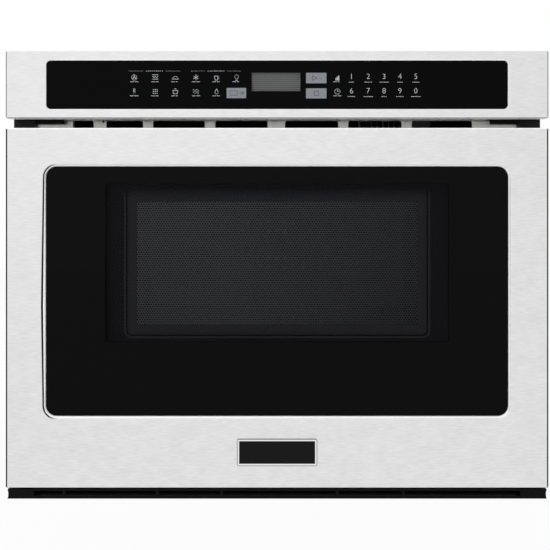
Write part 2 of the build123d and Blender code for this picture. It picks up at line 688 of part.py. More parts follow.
def inner_glass():
    """Glass towards the food, against the glass stop of the choke frame."""
    y1 = at(SEAL_FACE) - SHEET
    half_w = CHOKE_WALL_X - SEAT
    return block(-half_w, half_w, y1 - GLASS_T, y1, CHOKE_WALL_Z0 + SEAT, CHOKE_WALL_Z1 - SEAT)


def inner_panel():
    """Black sheet that closes the back of the pan and carries the choke frame and the brackets."""
    y0 = at(PAN_D)
    y1 = at(DOOR_BACK)
    half_w = WIDTH / 2 - INNER_PANEL_SETIN
    panel = block(-half_w, half_w, y0, y1, DOOR_Z0 + INNER_PANEL_SETIN, DOOR_Z1 - INNER_PANEL_SETIN)
    panel -= block(-CHOKE_X - SEAT, CHOKE_X + SEAT, y0, y1, CHOKE_Z0 - SEAT, CHOKE_Z1 + SEAT)
    for x, z in DOOR_SCREWS:
        panel -= rod_y(y0, y1, x, z, SCREW_R + PRESS)
    return panel


def badge_plate():
    """Bare badge: a raised rim round a sunk field."""
    z0 = BADGE_Z - BADGE_H / 2
    z1 = BADGE_Z + BADGE_H / 2
    plate = front_slab(window(BADGE_W / 2, z0, z1, EDGE_R), at(-BADGE_PROUD), at(0))
    field = window(BADGE_W / 2 - BADGE_RIM, z0 + BADGE_RIM, z1 - BADGE_RIM, EDGE_R / 2)
    return plate - front_slab(field, at(-BADGE_PROUD), at(-BADGE_PROUD + BADGE_SINK))


def drawer_bumpers():
    """Rubber buttons that stop the drawer front on the mounting flanges."""
    return group(
        rod_y(at(DOOR_BACK), at(FLANGE_FRONT) - SEAT, side * BUMPER_X, z, BUMPER_R)
        for side in (-1, 1) for z in BUMPER_ZS)


def latch_hook():
    """Right-hand hook that enters the front frame and works the interlock switches."""
    y0 = at(DOOR_BACK)
    foot = block(HOOK_X, HOOK_X + HOOK_FOOT, y0, y0 + FLANGE_T, HOOK_Z - HOOK_H, HOOK_Z + HOOK_H)
    arm = block(HOOK_X, HOOK_X + HOOK_T, y0, y0 + HOOK_L, HOOK_Z - HOOK_H / 2, HOOK_Z + HOOK_H / 2)
    notch = block(HOOK_X, HOOK_X + HOOK_T, y0 + HOOK_L - HOOK_NOTCH[1], y0 + HOOK_L - HOOK_NOTCH[0],
                  HOOK_Z, HOOK_Z + HOOK_H / 2)
    return foot + arm - notch


# --- Chassis --------------------------------------------------------------------------------------
def base_pan():
    """Floor of the chassis, between the side plates."""
    return block(-SIDE_X, SIDE_X, at(CABINET), REAR_Y, GRILLE_H, FLOOR_Z)


def side_plate():
    """Right-hand side plate with turned edges at the top and the rear, and air slots low down."""
    plate = block(SIDE_X, CHASSIS_HALF_W, at(CABINET), REAR_Y, GRILLE_H, ROOF_Z)
    top_y0 = at(CABINET) + FLANGE_RETURN + TURN_IN
    plate += block(SIDE_X - TURN_IN, SIDE_X, top_y0, REAR_Y - TURN_IN, ROOF_Z - SHEET, ROOF_Z)
    plate += block(SIDE_X - TURN_IN, SIDE_X, REAR_Y - SHEET, REAR_Y, FLOOR_Z + SEAT, ROOF_Z)
    for i in range(SLOT_COUNT):
        y = SLOT_PITCH * i
        z = FLOOR_Z + TURN_IN
        plate -= block(SIDE_X, CHASSIS_HALF_W, y, y + SLOT_W, z, z + SLOT_L)
    for y in COVER_SCREW_YS:
        plate -= rod_z(ROOF_Z - SHEET, ROOF_Z, SIDE_X - TURN_IN / 2, y, SCREW_R + PRESS)
    for z in COVER_SCREW_ZS:
        plate -= rod_y(REAR_Y - SHEET, REAR_Y, SIDE_X - TURN_IN / 2, z, SCREW_R + PRESS)
    return plate


def rear_panel():
    """Rear sheet with air slots behind the fan and the hole of the cord inlet."""
    panel = block(-CHASSIS_HALF_W, CHASSIS_HALF_W, REAR_Y, BACK_Y, GRILLE_H, ROOF_Z)
    for side in (-1, 1):
        for z in COVER_SCREW_ZS:
            panel -= rod_y(REAR_Y, BACK_Y, side * (SIDE_X - TURN_IN / 2), z, SCREW_R + PRESS)
    for i in range(REAR_VENT_COLS):
        x = REAR_VENT_X + SLOT_PITCH * i
        panel -= block(x, x + SLOT_W, REAR_Y, BACK_Y, REAR_VENT_Z, REAR_VENT_Z + SLOT_L)
    return panel - rod_y(REAR_Y, BACK_Y, INLET_X, INLET_Z, INLET_BODY_R + SEAT)


def top_cover():
    """Top sheet, resting on the side plates and the rear panel."""
    cover = block(-CHASSIS_HALF_W, CHASSIS_HALF_W, at(CABINET), BACK_Y, ROOF_Z, CHASSIS_TOP)
    for side in (-1, 1):
        for y in COVER_SCREW_YS:
            cover -= rod_z(ROOF_Z, CHASSIS_TOP, side * (SIDE_X - TURN_IN / 2), y, SCREW_R + PRESS)
    return cover


def cover_screws():
    """Screws of the rear panel and the top cover."""
    x = SIDE_X - TURN_IN / 2
    screws = []
    for side in (-1, 1):
        for z in COVER_SCREW_ZS:
            head = rod_y(BACK_Y, BACK_Y + COVER_SCREW_HEAD_H, side * x, z, COVER_SCREW_HEAD_R)
            screws.append(head + rod_y(BACK_Y - SCREW_L, BACK_Y, side * x, z, SCREW_R))
        for y in COVER_SCREW_YS:
            head = rod_z(CHASSIS_TOP, CHASSIS_TOP + COVER_SCREW_HEAD_H, side * x, y, COVER_SCREW_HEAD_R)
            screws.append(head + rod_z(CHASSIS_TOP - SCREW_L, CHASSIS_TOP, side * x, y, SCREW_R))
    return group(screws)


def mounting_flange():
    """Right-hand black flange: it overlaps the cabinet's face and is fixed inside the side plate."""
    x0 = SIDE_X - SHEET
    z1 = ROOF_Z - SEAT
    flange = block(x0, FLANGE_X, at(FLANGE_FRONT), at(CABINET), 0, z1)
    flange += block(x0, SIDE_X, at(CABINET), at(CABINET) + FLANGE_RETURN, FLOOR_Z + SEAT, z1)
    for z in (MOUNT_Z0, MOUNT_Z1):
        flange -= rod_y(at(FLANGE_FRONT), at(CABINET), MOUNT_X, z, MOUNT_HOLE_R)
    return flange


def front_frame():
    """Galvanised frame round the cavity mouth, with openings for slides, hooks and air."""
    y0 = at(FRAME_FRONT)
    y1 = at(FRAME_BACK)
    half_w = SIDE_X - SHEET - SEAT
    frame = block(-half_w, half_w, y0, y1, FLOOR_Z, ROOF_Z)
    frame -= block(-CAVITY_HALF_W, CAVITY_HALF_W, y0, y1, CAVITY_Z0, CAVITY_Z1)
    frame -= block(-FRAME_VENT_X, FRAME_VENT_X, y0, y1, VENT_SLOT_Z0, FRAME_VENT_Z1)
    for side in (-1, 1):
        frame -= block(side * NOTCH_X0, side * NOTCH_X1, y0, y1, NOTCH_Z0, NOTCH_Z1)
        frame -= block(side * (HOOK_X - HOOK_SLOT), side * (HOOK_X + HOOK_T + HOOK_SLOT), y0, y1,
                       HOOK_Z - HOOK_H / 2 - HOOK_SLOT, HOOK_Z + HOOK_H / 2 + HOOK_SLOT)
    for x in INTAKE_XS:
        frame -= block(x - INTAKE_W / 2, x + INTAKE_W / 2, y0, y1, INTAKE_Z0, INTAKE_Z1)
    return frame


def vent_plate():
    """Galvanised plate seen in the gap over the drawer front, with seven slots."""
    y0 = at(VENT_PLATE)
    half_w = SIDE_X - SHEET - SEAT
    plate = block(-half_w, half_w, y0, y0 + SHEET, VENT_PLATE_Z0, VENT_PLATE_Z1)
    plate += block(-half_w, half_w, y0, at(FRAME_FRONT), VENT_PLATE_Z1 - SHEET, VENT_PLATE_Z1)
    for left, length in VENT_SLOTS:
        if abs(left + length / 2) + length / 2 > FRAME_VENT_X + VENT_SLOT_R:
            continue
        slot = window(length / 2, VENT_SLOT_Z0, VENT_SLOT_Z1, VENT_SLOT_R, left + length / 2)
        plate -= front_slab(slot, y0, y0 + SHEET)
    for x in VENT_HOLES:
        plate -= rod_y(y0, y0 + SHEET, x, VENT_HOLE_Z, VENT_HOLE_R)
    return plate


def bottom_grille():
    """Black plastic intake grille under the drawer front, fixed on the mounting flanges."""
    y0 = at(GRILLE_SETBACK)
    y1 = at(FLANGE_FRONT)
    grille = block(-FLANGE_X, FLANGE_X, y0, y0 + GRILLE_T, 0, GRILLE_H)
    grille += block(-FLANGE_X, FLANGE_X, y0, y1, 0, GRILLE_FLOOR)
    grille += block(-FLANGE_X, FLANGE_X, y1 - GRILLE_T, y1, 0, GRILLE_BACK)
    for side in (-1, 1):
        grille += block(side * (FLANGE_X - GRILLE_END), side * FLANGE_X, y0, y1, 0, GRILLE_H)
    slot_z0 = (GRILLE_H - GRILLE_SLOT_H) / 2 + GRILLE_FLOOR / 2
    edge = FLANGE_X - GRILLE_END
    ribs = [x for x in GRILLE_RIBS if abs(x) < edge - INTAKE_W / 2]
    ends = [-edge] + ribs + [edge]
    for left, right in zip(ends, ends[1:]):
        grille -= block(left + GRILLE_RIB_W / 2, right - GRILLE_RIB_W / 2, y0, y0 + GRILLE_T,
                        slot_z0, slot_z0 + GRILLE_SLOT_H)
    for side in (-1, 1):
        x = side * (FLANGE_X + GRILLE_BITE_R - GRILLE_BITE)
        grille -= rod_y(y0, y1, x, GRILLE_H / 2, GRILLE_BITE_R)
    return grille


def cord_inlet():
    """Bushing in the rear panel where the supply cord enters."""
    inlet = rod_y(BACK_Y, BACK_Y + INLET_PROUD, INLET_X, INLET_Z, INLET_HEAD_R)
    inlet += rod_y(REAR_Y - INLET_INSIDE, BACK_Y, INLET_X, INLET_Z, INLET_BODY_R)
    inlet += rod_y(REAR_Y - INLET_INSIDE / 2, REAR_Y, INLET_X, INLET_Z, INLET_BODY_R + 3 * SHEET)
    return inlet - rod_y(REAR_Y - INLET_INSIDE, BACK_Y + INLET_PROUD, INLET_X, INLET_Z, INLET_BORE_R)


# --- Drawer box -----------------------------------------------------------------------------------
def drawer_box():
    """Enamelled steel box: floor, two sides, perforated rear wall, rim and front flange."""
    box = block(-BOX_X, BOX_X, BOX_Y0, BOX_Y1, BOX_Z0, BOX_Z1)
    box -= block(-BOX_X + SHEET, BOX_X - SHEET, BOX_Y0, BOX_Y1 - SHEET, BOX_Z0 + SHEET, BOX_Z1)
    rim = block(-BOX_X - BOX_RIM, BOX_X + BOX_RIM, BOX_Y0, BOX_Y1 + BOX_RIM, BOX_Z1 - SHEET, BOX_Z1)
    rim -= block(-BOX_X, BOX_X, BOX_Y0, BOX_Y1, BOX_Z1 - SHEET, BOX_Z1)
    flange = block(-BOX_X, BOX_X, BOX_Y0, BOX_Y0 + SHEET, BOX_Z0, BOX_Z1)
    flange -= block(-BOX_X + BOX_FLANGE, BOX_X - BOX_FLANGE, BOX_Y0, BOX_Y0 + SHEET,
                    BOX_Z0 + BOX_FLANGE, BOX_Z1)
    box = box + rim + flange
    for col in range(PERF_COLS):
        for row in range(PERF_ROWS):
            x = (col - (PERF_COLS - 1) / 2) * PERF_PITCH
            z = FAN_Z + (row - (PERF_ROWS - 1) / 2) * PERF_PITCH
            box -= rod_y(BOX_Y1 - SHEET, BOX_Y1, x, z, PERF_R)
    return box


def glass_tray():
    """Glass-ceramic floor plate."""
    half_w = BOX_X - TRAY_GAP
    y0 = BOX_Y0 + SHEET + SEAT
    y1 = BOX_Y1 - TRAY_GAP
    z0 = BOX_Z0 + SHEET
    return block(-half_w, half_w, y0, y1, z0, z0 + TRAY_T)


# --- Slides ---------------------------------------------------------------------------------------
def rail_block(x0, x1, z0, z1, y0=None, length=RAIL_L):
    """A strip of a right-hand slide, x measured inwards from the outer member's back."""
    start = RAIL_Y0 if y0 is None else y0
    return block(RAIL_X - x1, RAIL_X - x0, start, start + length, RAIL_Z + z0, RAIL_Z + z1)


def rail_outer():
    """C-shaped outer member, open towards the drawer."""
    member = rail_block(0, FLANGE_REACH, -OUTER_HALF, OUTER_HALF)
    return member - rail_block(RAIL_T, FLANGE_REACH, -OUTER_HALF + RAIL_T, OUTER_HALF - RAIL_T)


def rail_middle():
    """C-shaped middle member, nested in the outer one."""
    member = rail_block(MIDDLE_AT, FLANGE_REACH, -MIDDLE_HALF, MIDDLE_HALF)
    half = MIDDLE_HALF - RAIL_T
    return member - rail_block(MIDDLE_AT + RAIL_T, FLANGE_REACH, -half, half)


def rail_inner():
    """C-shaped inner member, open towards the chassis, its web on the drawer bracket."""
    member = rail_block(INNER_AT, RAIL_W, -INNER_HALF, INNER_HALF)
    half = INNER_HALF - RAIL_T
    return member - rail_block(INNER_AT, RAIL_W - RAIL_T, -half, half)


def ball_cage(web_at, ball_at, row_z):
    """A U-shaped cage with one row of balls above and one below."""
    half = row_z + CAGE_T / 2
    cage = rail_block(web_at, ball_at + 2 * BALL_R, -half, half, CAGE_Y0, CAGE_L)
    half -= CAGE_T
    cage -= rail_block(web_at + CAGE_T, ball_at + 2 * BALL_R, -half, half, CAGE_Y0, CAGE_L)
    balls = []
    for i in range(BALLS):
        y = CAGE_Y0 + CAGE_L * (i + 0.5) / BALLS
        for z in (RAIL_Z - row_z, RAIL_Z + row_z):
            cage -= rod_z(z - CAGE_T, z + CAGE_T, RAIL_X - ball_at, y, BALL_R + BALL_GAP / 2)
            balls.append(Pos(RAIL_X - ball_at, y, z) * Sphere(BALL_R))
    return [cage] + balls


def rail_bracket():
    """Hat-shaped bracket that carries the outer member on the side plate."""
    y0 = at(CABINET) + FLANGE_RETURN + SEAT
    y1 = RAIL_Y0 + RAIL_L
    half = OUTER_HALF - RAIL_T
    hat = block(RAIL_X, SIDE_X, y0, y1, RAIL_Z - half, RAIL_Z + half)
    hat -= block(RAIL_X + FLANGE_T, SIDE_X, y0, y1, RAIL_Z - half + FLANGE_T, RAIL_Z + half - FLANGE_T)
    for side in (-1, 1):
        z = RAIL_Z + side * half
        hat += block(SIDE_X - FLANGE_T, SIDE_X, y0, y1, z - side * FLANGE_T, z + side * TURN_IN)
    return hat


def drawer_bracket():
    """Side bracket of the drawer: a long plate on the inner member and a foot on the inner panel."""
    y0 = at(DOOR_BACK)
    z0 = RACK_Z + MODULE * DEDENDUM
    z1 = RAIL_Z + INNER_HALF + 2 * FLANGE_T
    plate = block(BRACKET_X - DRAWER_BRACKET_T, BRACKET_X, y0, y0 + BRACKET_L, z0, z1)
    foot = block(BRACKET_X - DRAWER_BRACKET_T, BRACKET_X + BRACKET_FOOT, y0, y0 + DRAWER_BRACKET_T, z0, z1)
    return plate + foot


# --- Drive ----------------------------------------------------------------------------------------
def drive_rack():
    """Rack under the right-hand drawer bracket, teeth down, a gap over the pinion's top tooth."""
    y0 = PINION_Y - RACK_SPARE_TEETH * PITCH
    tip = RACK_ADDENDUM * MODULE
    root = DEDENDUM * MODULE
    points = []
    for i in range(RACK_TEETH):
        y = y0 + (i + 0.5) * PITCH
        tip_half = TOOTH_HALF - tip * tan(PRESSURE)
        root_half = TOOTH_HALF + root * tan(PRESSURE)
        points += [(y - root_half, RACK_Z + root), (y - tip_half, RACK_Z - tip),
                   (y + tip_half, RACK_Z - tip), (y + root_half, RACK_Z + root)]
    y1 = y0 + RACK_TEETH * PITCH
    top = RACK_Z + root + RACK_BODY
    points = [(y0, top), (y0, RACK_Z + root)] + points + [(y1, RACK_Z + root), (y1, top)]
    return side_slab(make_face(Polyline(*points, close=True)), RACK_X1 - RACK_W, RACK_X1)


def gear_outline():
    """Involute teeth as one closed outline round the origin, a tooth pointing up."""
    base_r = PITCH_R * cos(PRESSURE)
    tip_r = PITCH_R + MODULE
    root_r = PITCH_R - DEDENDUM * MODULE
    pitch_angle = TOOTH_HALF / PITCH_R
    start = tan(PRESSURE) - PRESSURE
    steps = 5
    flank = []
    for i in range(steps + 1):
        r = base_r + (tip_r - base_r) * i / steps
        roll = acos(min(1.0, base_r / r))
        flank.append((r, pitch_angle + start - (tan(roll) - roll)))
    flank = [(root_r, flank[0][1])] + flank
    points = []
    for tooth in range(PINION_TEETH):
        middle = pi / 2 - 2 * pi * tooth / PINION_TEETH
        points += [(r * cos(middle + a), r * sin(middle + a)) for r, a in flank]
        points += [(r * cos(middle - a), r * sin(middle - a)) for r, a in reversed(flank)]
    return make_face(Polyline(*points, close=True))


def drive_pinion():
    """Pinion that drives the rack, in one piece with the gearbox's output shaft."""
    sketch = Pos(PINION_Y, PINION_Z) * gear_outline()
    gear = side_slab(sketch, PINION_X - PINION_W / 2, PINION_X + PINION_W / 2)
    return gear + rod_x(MOTOR_FACE - GEARBOX_L / 2, PINION_X, PINION_Y, PINION_Z, SHAFT_R)


def drive_motor():
    """Gearbox and motor in one housing, with a bore for the output shaft."""
    y0 = PINION_Y - GEARBOX_HALF
    z0 = PINION_Z - GEARBOX_HALF
    box = block(MOTOR_FACE - GEARBOX_L, MOTOR_FACE, y0, y0 + 2 * GEARBOX_HALF, z0, z0 + 2 * GEARBOX_HALF)
    box = fillet(box.edges().filter_by(Axis.X), EDGE_R * 2)
    can = rod_x(MOTOR_FACE - GEARBOX_L - MOTOR_L, MOTOR_FACE - GEARBOX_L, PINION_Y, PINION_Z, MOTOR_R)
    bore = rod_x(MOTOR_FACE - GEARBOX_L / 2, MOTOR_FACE, PINION_Y, PINION_Z, SHAFT_R + SHAFT_PLAY)
    return box + can - bore


def drive_bracket():
    """Upright plate on the base pan that carries the drive motor."""
    half = GEARBOX_HALF + FLANGE_T
    y0 = PINION_Y - half
    y1 = PINION_Y + half
    x1 = MOTOR_FACE + MOTOR_PLATE_T
    plate = block(MOTOR_FACE, x1, y0, y1, FLOOR_Z, PINION_Z + half)
    plate -= rod_x(MOTOR_FACE, x1, PINION_Y, PINION_Z, SHAFT_R + SEAT)
    foot_l = GEARBOX_L / 2
    return plate + block(MOTOR_FACE - foot_l, x1, y0, y1, FLOOR_Z, FLOOR_Z + MOTOR_PLATE_T)


# --- Control panel --------------------------------------------------------------------------------
def panel_trim():
    """Folded stainless trim of the control panel."""
    opening = (TOUCH_W / 2, TOUCH_Z0, TOUCH_Z0 + TOUCH_H, TOUCH_R)
    return folded_front(PANEL_Z0, HEIGHT, TRIM_D, opening, TOUCH_HEM_R, TOUCH_RECESS + TOUCH_T)


def touch_glass():
    """Black touch glass of the control panel."""
    sketch = window(TOUCH_W / 2 - SEAT, TOUCH_Z0 + SEAT, TOUCH_Z0 + TOUCH_H - SEAT, TOUCH_R - SEAT)
    return front_slab(sketch, at(TOUCH_RECESS), at(TOUCH_RECESS + TOUCH_T))


def display():
    """Display behind the touch glass."""
    y0 = at(TOUCH_RECESS + TOUCH_T)
    return block(DISPLAY_X - DISPLAY_W / 2, DISPLAY_X + DISPLAY_W / 2, y0, y0 + DISPLAY_D,
                 DISPLAY_Z - DISPLAY_H / 2, DISPLAY_Z + DISPLAY_H / 2)


def sensor_board():
    """Sensor board on the back of the touch glass, cut out for the display."""
    y0 = at(TOUCH_RECESS + TOUCH_T)
    half_w = TOUCH_W / 2 - DISPLAY_RIM
    board = block(-half_w, half_w, y0, y0 + SENSOR_T,
                  TOUCH_Z0 + DISPLAY_RIM, TOUCH_Z0 + TOUCH_H - DISPLAY_RIM)
    gap = SEAT
    return board - block(DISPLAY_X - DISPLAY_W / 2 - gap, DISPLAY_X + DISPLAY_W / 2 + gap,
                         y0, y0 + SENSOR_T,
                         DISPLAY_Z - DISPLAY_H / 2 - gap, DISPLAY_Z + DISPLAY_H / 2 + gap)


def display_board():
    """Display and touch sensor board behind the glass."""
    return group([display(), sensor_board()])


def panel_housing():
    """Black plastic tray in the trim, behind the touch glass and its boards, with a lug at each end."""
    half_w = WIDTH / 2 - SKIN - SEAT
    y0 = at(HOUSING_START)
    y1 = at(PANEL_D)
    z0 = PANEL_Z0 + HOUSING_INSET
    z1 = HEIGHT - HOUSING_INSET
    tray = block(-half_w, half_w, y0, y1, z0, z1)
    tray -= block(-half_w + HOUSING_WALL, half_w - HOUSING_WALL, y0, y1 - HOUSING_WALL,
                  z0 + HOUSING_WALL, z1 - HOUSING_WALL)
    return tray + panel_lug() + mirrored(panel_lug())


def panel_lug():
    """Right-hand lug that carries the panel housing on the front frame."""
    y0 = at(PANEL_D)
    x1 = SIDE_X - SHEET
    lug = block(PANEL_LUG_X, x1, y0, y0 + FLANGE_T, PANEL_LUG_Z0, PANEL_LUG_Z1)
    return lug + block(PANEL_LUG_X, PANEL_LUG_X + FLANGE_T, y0 + FLANGE_T, at(FRAME_FRONT),
                           VENT_PLATE_Z1 + SEAT, PANEL_LUG_Z1)


# --- Cavity ---------------------------------------------------------------------------------------
def cavity_shell():
    """Enamelled cavity, open at the front, with hangers for the grill heater under its ceiling."""
    x = CAVITY_HALF_W
    shell = block(-x - SHEET, x + SHEET, CAVITY_Y0, CAVITY_REAR, CAVITY_Z0 - SHEET, CAVITY_TOP)
    shell -= block(-x, x, CAVITY_Y0, CAVITY_Y1, CAVITY_Z0, CAVITY_Z1)
    shell -= rod_y(CAVITY_Y1, CAVITY_REAR, 0, FAN_Z, FAN_HOLE_R)
    shell -= rod_z(CAVITY_Z1, CAVITY_TOP, STIRRER_X, STIRRER_Y, STIRRER_HOLE_R)
    shell -= rod_z(CAVITY_Z1, CAVITY_TOP, LAMP_X, LAMP_Y, LAMP_R)
    for side in (-1, 1):
        shell -= rod_y(CAVITY_Y1, CAVITY_REAR, side * HEATER_X, HEATER_Z, HEATER_R + HEATER_PLAY)
    for i in range(STEAM_HOLES):
        for j in range(STEAM_HOLES):
            x = STEAM_X + PERF_PITCH * i
            y = STEAM_Y + PERF_PITCH * j
            shell -= rod_z(CAVITY_Z1, CAVITY_TOP, x, y, PERF_R)
    bottom = HEATER_Z - HEATER_R - CLIP_T
    for side in (-1, 1):
        for y in CLIP_YS:
            x = side * HEATER_X
            shell += block(x - CLIP_W / 2, x + CLIP_W / 2, y, y + CLIP_T, bottom, CAVITY_Z1)
            shell -= rod_y(y, y + CLIP_T, x, HEATER_Z, HEATER_R + HEATER_PLAY / 2)
    return shell


def grill_heater():
    """Sheathed heating element under the ceiling, its ends through the rear wall."""
    end = CAVITY_REAR + HEATER_TAIL
    path = FilletPolyline((-HEATER_X, end, HEATER_Z), (-HEATER_X, HEATER_Y0, HEATER_Z),
                          (HEATER_X, HEATER_Y0, HEATER_Z), (HEATER_X, end, HEATER_Z), radius=HEATER_BEND)
    section = Plane(origin=path @ 0, z_dir=path % 0) * Circle(HEATER_R)
    return sweep(section, path=path)


def lens():
    """Glass disc under the lamp hole in the ceiling."""
    return rod_z(CAVITY_Z1 - LENS_T, CAVITY_Z1, LAMP_X, LAMP_Y, LAMP_R + LENS_LAP)


def lamp_box():
    """Sheet box over the lamp hole, open downwards."""
    half = LAMP_BOX
    top = CAVITY_TOP + LAMP_BOX_H
    box = block(LAMP_X - half, LAMP_X + half, LAMP_Y - half, LAMP_Y + half, CAVITY_TOP, top)
    inner = half - SHEET
    box -= block(LAMP_X - inner, LAMP_X + inner, LAMP_Y - inner, LAMP_Y + inner, CAVITY_TOP, top - SHEET)
    return box


def bulb():
    """Oven lamp, its socket on the underside of the housing's top."""
    top = CAVITY_TOP + LAMP_BOX_H - SHEET
    socket = rod_z(top - SOCKET_H, top, LAMP_X, LAMP_Y, BULB_R + 2 * SHEET)
    glass = rod_z(top - SOCKET_H - BULB_L + BULB_R, top - SOCKET_H, LAMP_X, LAMP_Y, BULB_R)
    return socket + glass + Pos(LAMP_X, LAMP_Y, top - SOCKET_H - BULB_L + BULB_R) * Sphere(BULB_R)


def cavity_lamp():
    """Lamp of the cavity: its sheet box, the bulb in its socket and the lens."""
    return group([lamp_box(), bulb(), lens()])


# --- Convection fan -------------------------------------------------------------------------------
def fan_cover():
    """Perforated cover on the inside of the rear wall, in front of the convection fan."""
    y0 = CAVITY_Y1 - FAN_COVER_T
    cover = rod_y(y0, CAVITY_Y1, 0, FAN_Z, FAN_HOLE_R + FAN_COVER_LAP)
    for count, r in FAN_COVER_HOLES:
        for i in range(count):
            a = 2 * pi * i / count
            cover -= rod_y(y0, CAVITY_Y1, r * cos(a), FAN_Z + r * sin(a), PERF_R)
    return cover


def convection_housing():
    """Sheet box behind the rear wall, round the fan and its heater."""
    half = FAN_HOUSING_HALF
    box = block(-half, half, CAVITY_REAR, HOUSING_REAR, FAN_Z - half, FAN_Z + half)
    inner = half - SHEET
    box -= block(-inner, inner, CAVITY_REAR, HOUSING_REAR - SHEET, FAN_Z - inner, FAN_Z + inner)
    box -= rod_y(HOUSING_REAR - SHEET, HOUSING_REAR, 0, FAN_Z, SHAFT_HOLE_R)
    for side in (-1, 1):
        box -= rod_y(HOUSING_REAR - SHEET, HOUSING_REAR, side * RING_TAIL_X, RING_TAIL_Z,
                     HEATER_R + HEATER_PLAY)
    return box


def convection_fan():
    """Impeller on its shaft: a disc with radial vanes towards the cavity."""
    fan = rod_y(FAN_Y + FAN_VANE_D - FAN_DISC_T, FAN_Y + FAN_VANE_D, 0, FAN_Z, FAN_R)
    fan += rod_y(FAN_Y, FAN_Y + FAN_VANE_D, 0, FAN_Z, FAN_HUB_R)
    vane = block(FAN_VANE_R0, FAN_R, FAN_Y, FAN_Y + FAN_VANE_D, -FAN_DISC_T / 2, FAN_DISC_T / 2)
    for i in range(FAN_VANES):
        fan += Pos(0, 0, FAN_Z) * Rot(Y=360 * i / FAN_VANES) * vane
    return fan + rod_y(FAN_Y, HOUSING_REAR + FAN_MOTOR_L / 2, 0, FAN_Z, SHAFT_R)


def convection_motor():
    """Motor on the back of the fan housing."""
    motor = rod_y(HOUSING_REAR, HOUSING_REAR + FAN_MOTOR_L, 0, FAN_Z, FAN_MOTOR_R)
    half = FAN_MOTOR_R + TURN_IN
    motor += block(-half, half, HOUSING_REAR, HOUSING_REAR + FLANGE_T, FAN_Z - TURN_IN, FAN_Z + TURN_IN)
    return motor - rod_y(HOUSING_REAR, HOUSING_REAR + FAN_MOTOR_L / 2, 0, FAN_Z, SHAFT_R + SHAFT_PLAY)


def convection_heater():
    """Ring heater round the convection fan, with a ferrule at each bend and its tails out at the back."""
    plane = Plane(origin=(0, RING_HEATER_Y, FAN_Z), x_dir=(1, 0, 0), z_dir=(0, -1, 0))
    start = -90 + RING_HEATER_GAP / 2
    arc = plane * CenterArc((0, 0), RING_HEATER_R, start, 360 - RING_HEATER_GAP)
    body = sweep(Plane(origin=arc @ 0, z_dir=arc % 0) * Circle(HEATER_R), path=arc)
    end = HOUSING_REAR + HEATER_TAIL / 2
    grip = HEATER_R + FERRULE_T
    for side in (-1, 1):
        x = side * RING_TAIL_X
        body += rod_y(RING_HEATER_Y - grip, RING_HEATER_Y + grip, x, RING_TAIL_Z, grip)
        body += rod_y(RING_HEATER_Y, end, x, RING_TAIL_Z, HEATER_R)
    return body


# --- Microwave supply -----------------------------------------------------------------------------
def waveguide():
    """Sheet duct on the ceiling, from the magnetron to the stirrer, open downwards."""
    guide = block(GUIDE_X0, GUIDE_X1, GUIDE_Y0, GUIDE_Y1, CAVITY_TOP, GUIDE_TOP)
    guide -= block(GUIDE_X0 + SHEET, GUIDE_X1 - SHEET, GUIDE_Y0 + SHEET, GUIDE_Y1 - SHEET,
                   CAVITY_TOP, GUIDE_TOP - SHEET)
    guide -= rod_x(GUIDE_X1 - SHEET, GUIDE_X1, MAG_Y, MAG_Z, ANTENNA_R + ANTENNA_HOLE)
    return guide - rod_z(GUIDE_TOP - SHEET, GUIDE_TOP, STIRRER_X, STIRRER_Y, SHAFT_HOLE_R)


def stirrer_cover():
    """Mica disc under the stirrer opening."""
    return rod_z(CAVITY_Z1 - STIRRER_COVER_T, CAVITY_Z1, STIRRER_X, STIRRER_Y, STIRRER_COVER_R)


def stirrer():
    """Four tilted blades on a hub and shaft that spread the microwaves."""
    z0 = CAVITY_TOP + STIRRER_LIFT
    hub = rod_z(z0, z0 + 2 * STIRRER_LIFT, 0, 0, STIRRER_HUB_R)
    blade = Pos((STIRRER_R + STIRRER_HUB_R / 2) / 2, 0, z0 + STIRRER_LIFT) * Rot(X=STIRRER_TILT)
    blade *= Box(STIRRER_R - STIRRER_HUB_R / 2, STIRRER_BLADE_W, SHEET)
    for i in range(STIRRER_BLADES):
        hub += Rot(Z=360 * i / STIRRER_BLADES) * blade
    hub += rod_z(z0, GUIDE_TOP + STIRRER_MOTOR_H / 2, 0, 0, STIRRER_SHAFT_R)
    return Pos(STIRRER_X, STIRRER_Y, 0) * hub


def stirrer_motor():
    """Small geared motor on the waveguide."""
    motor = rod_z(GUIDE_TOP, GUIDE_TOP + STIRRER_MOTOR_H, STIRRER_X, STIRRER_Y, STIRRER_MOTOR_R)
    half = STIRRER_MOTOR_R + TURN_IN / 2
    motor += block(STIRRER_X - half, STIRRER_X + half, STIRRER_Y - TURN_IN / 2, STIRRER_Y + TURN_IN / 2,
                   GUIDE_TOP, GUIDE_TOP + FLANGE_T)
    bore = rod_z(GUIDE_TOP, GUIDE_TOP + STIRRER_MOTOR_H / 2, STIRRER_X, STIRRER_Y,
                 STIRRER_SHAFT_R + SHAFT_PLAY)
    return motor - bore


def yoke():
    """Steel yoke round the magnets, open towards the cooling air."""
    x0 = GUIDE_X1
    x1 = MAG_X1
    z1 = MAG_Z0 + MAG_H
    frame = block(x0, x1, MAG_Y0, MAG_Y1, MAG_Z0, z1)
    frame -= block(x0 + MAG_WALL, x1 - MAG_WALL, MAG_Y0, MAG_Y1, MAG_Z0 + MAG_WALL, z1 - MAG_WALL)
    return frame - rod_x(x0, x0 + MAG_WALL, MAG_Y, MAG_Z, ANTENNA_R + ANTENNA_HOLE)


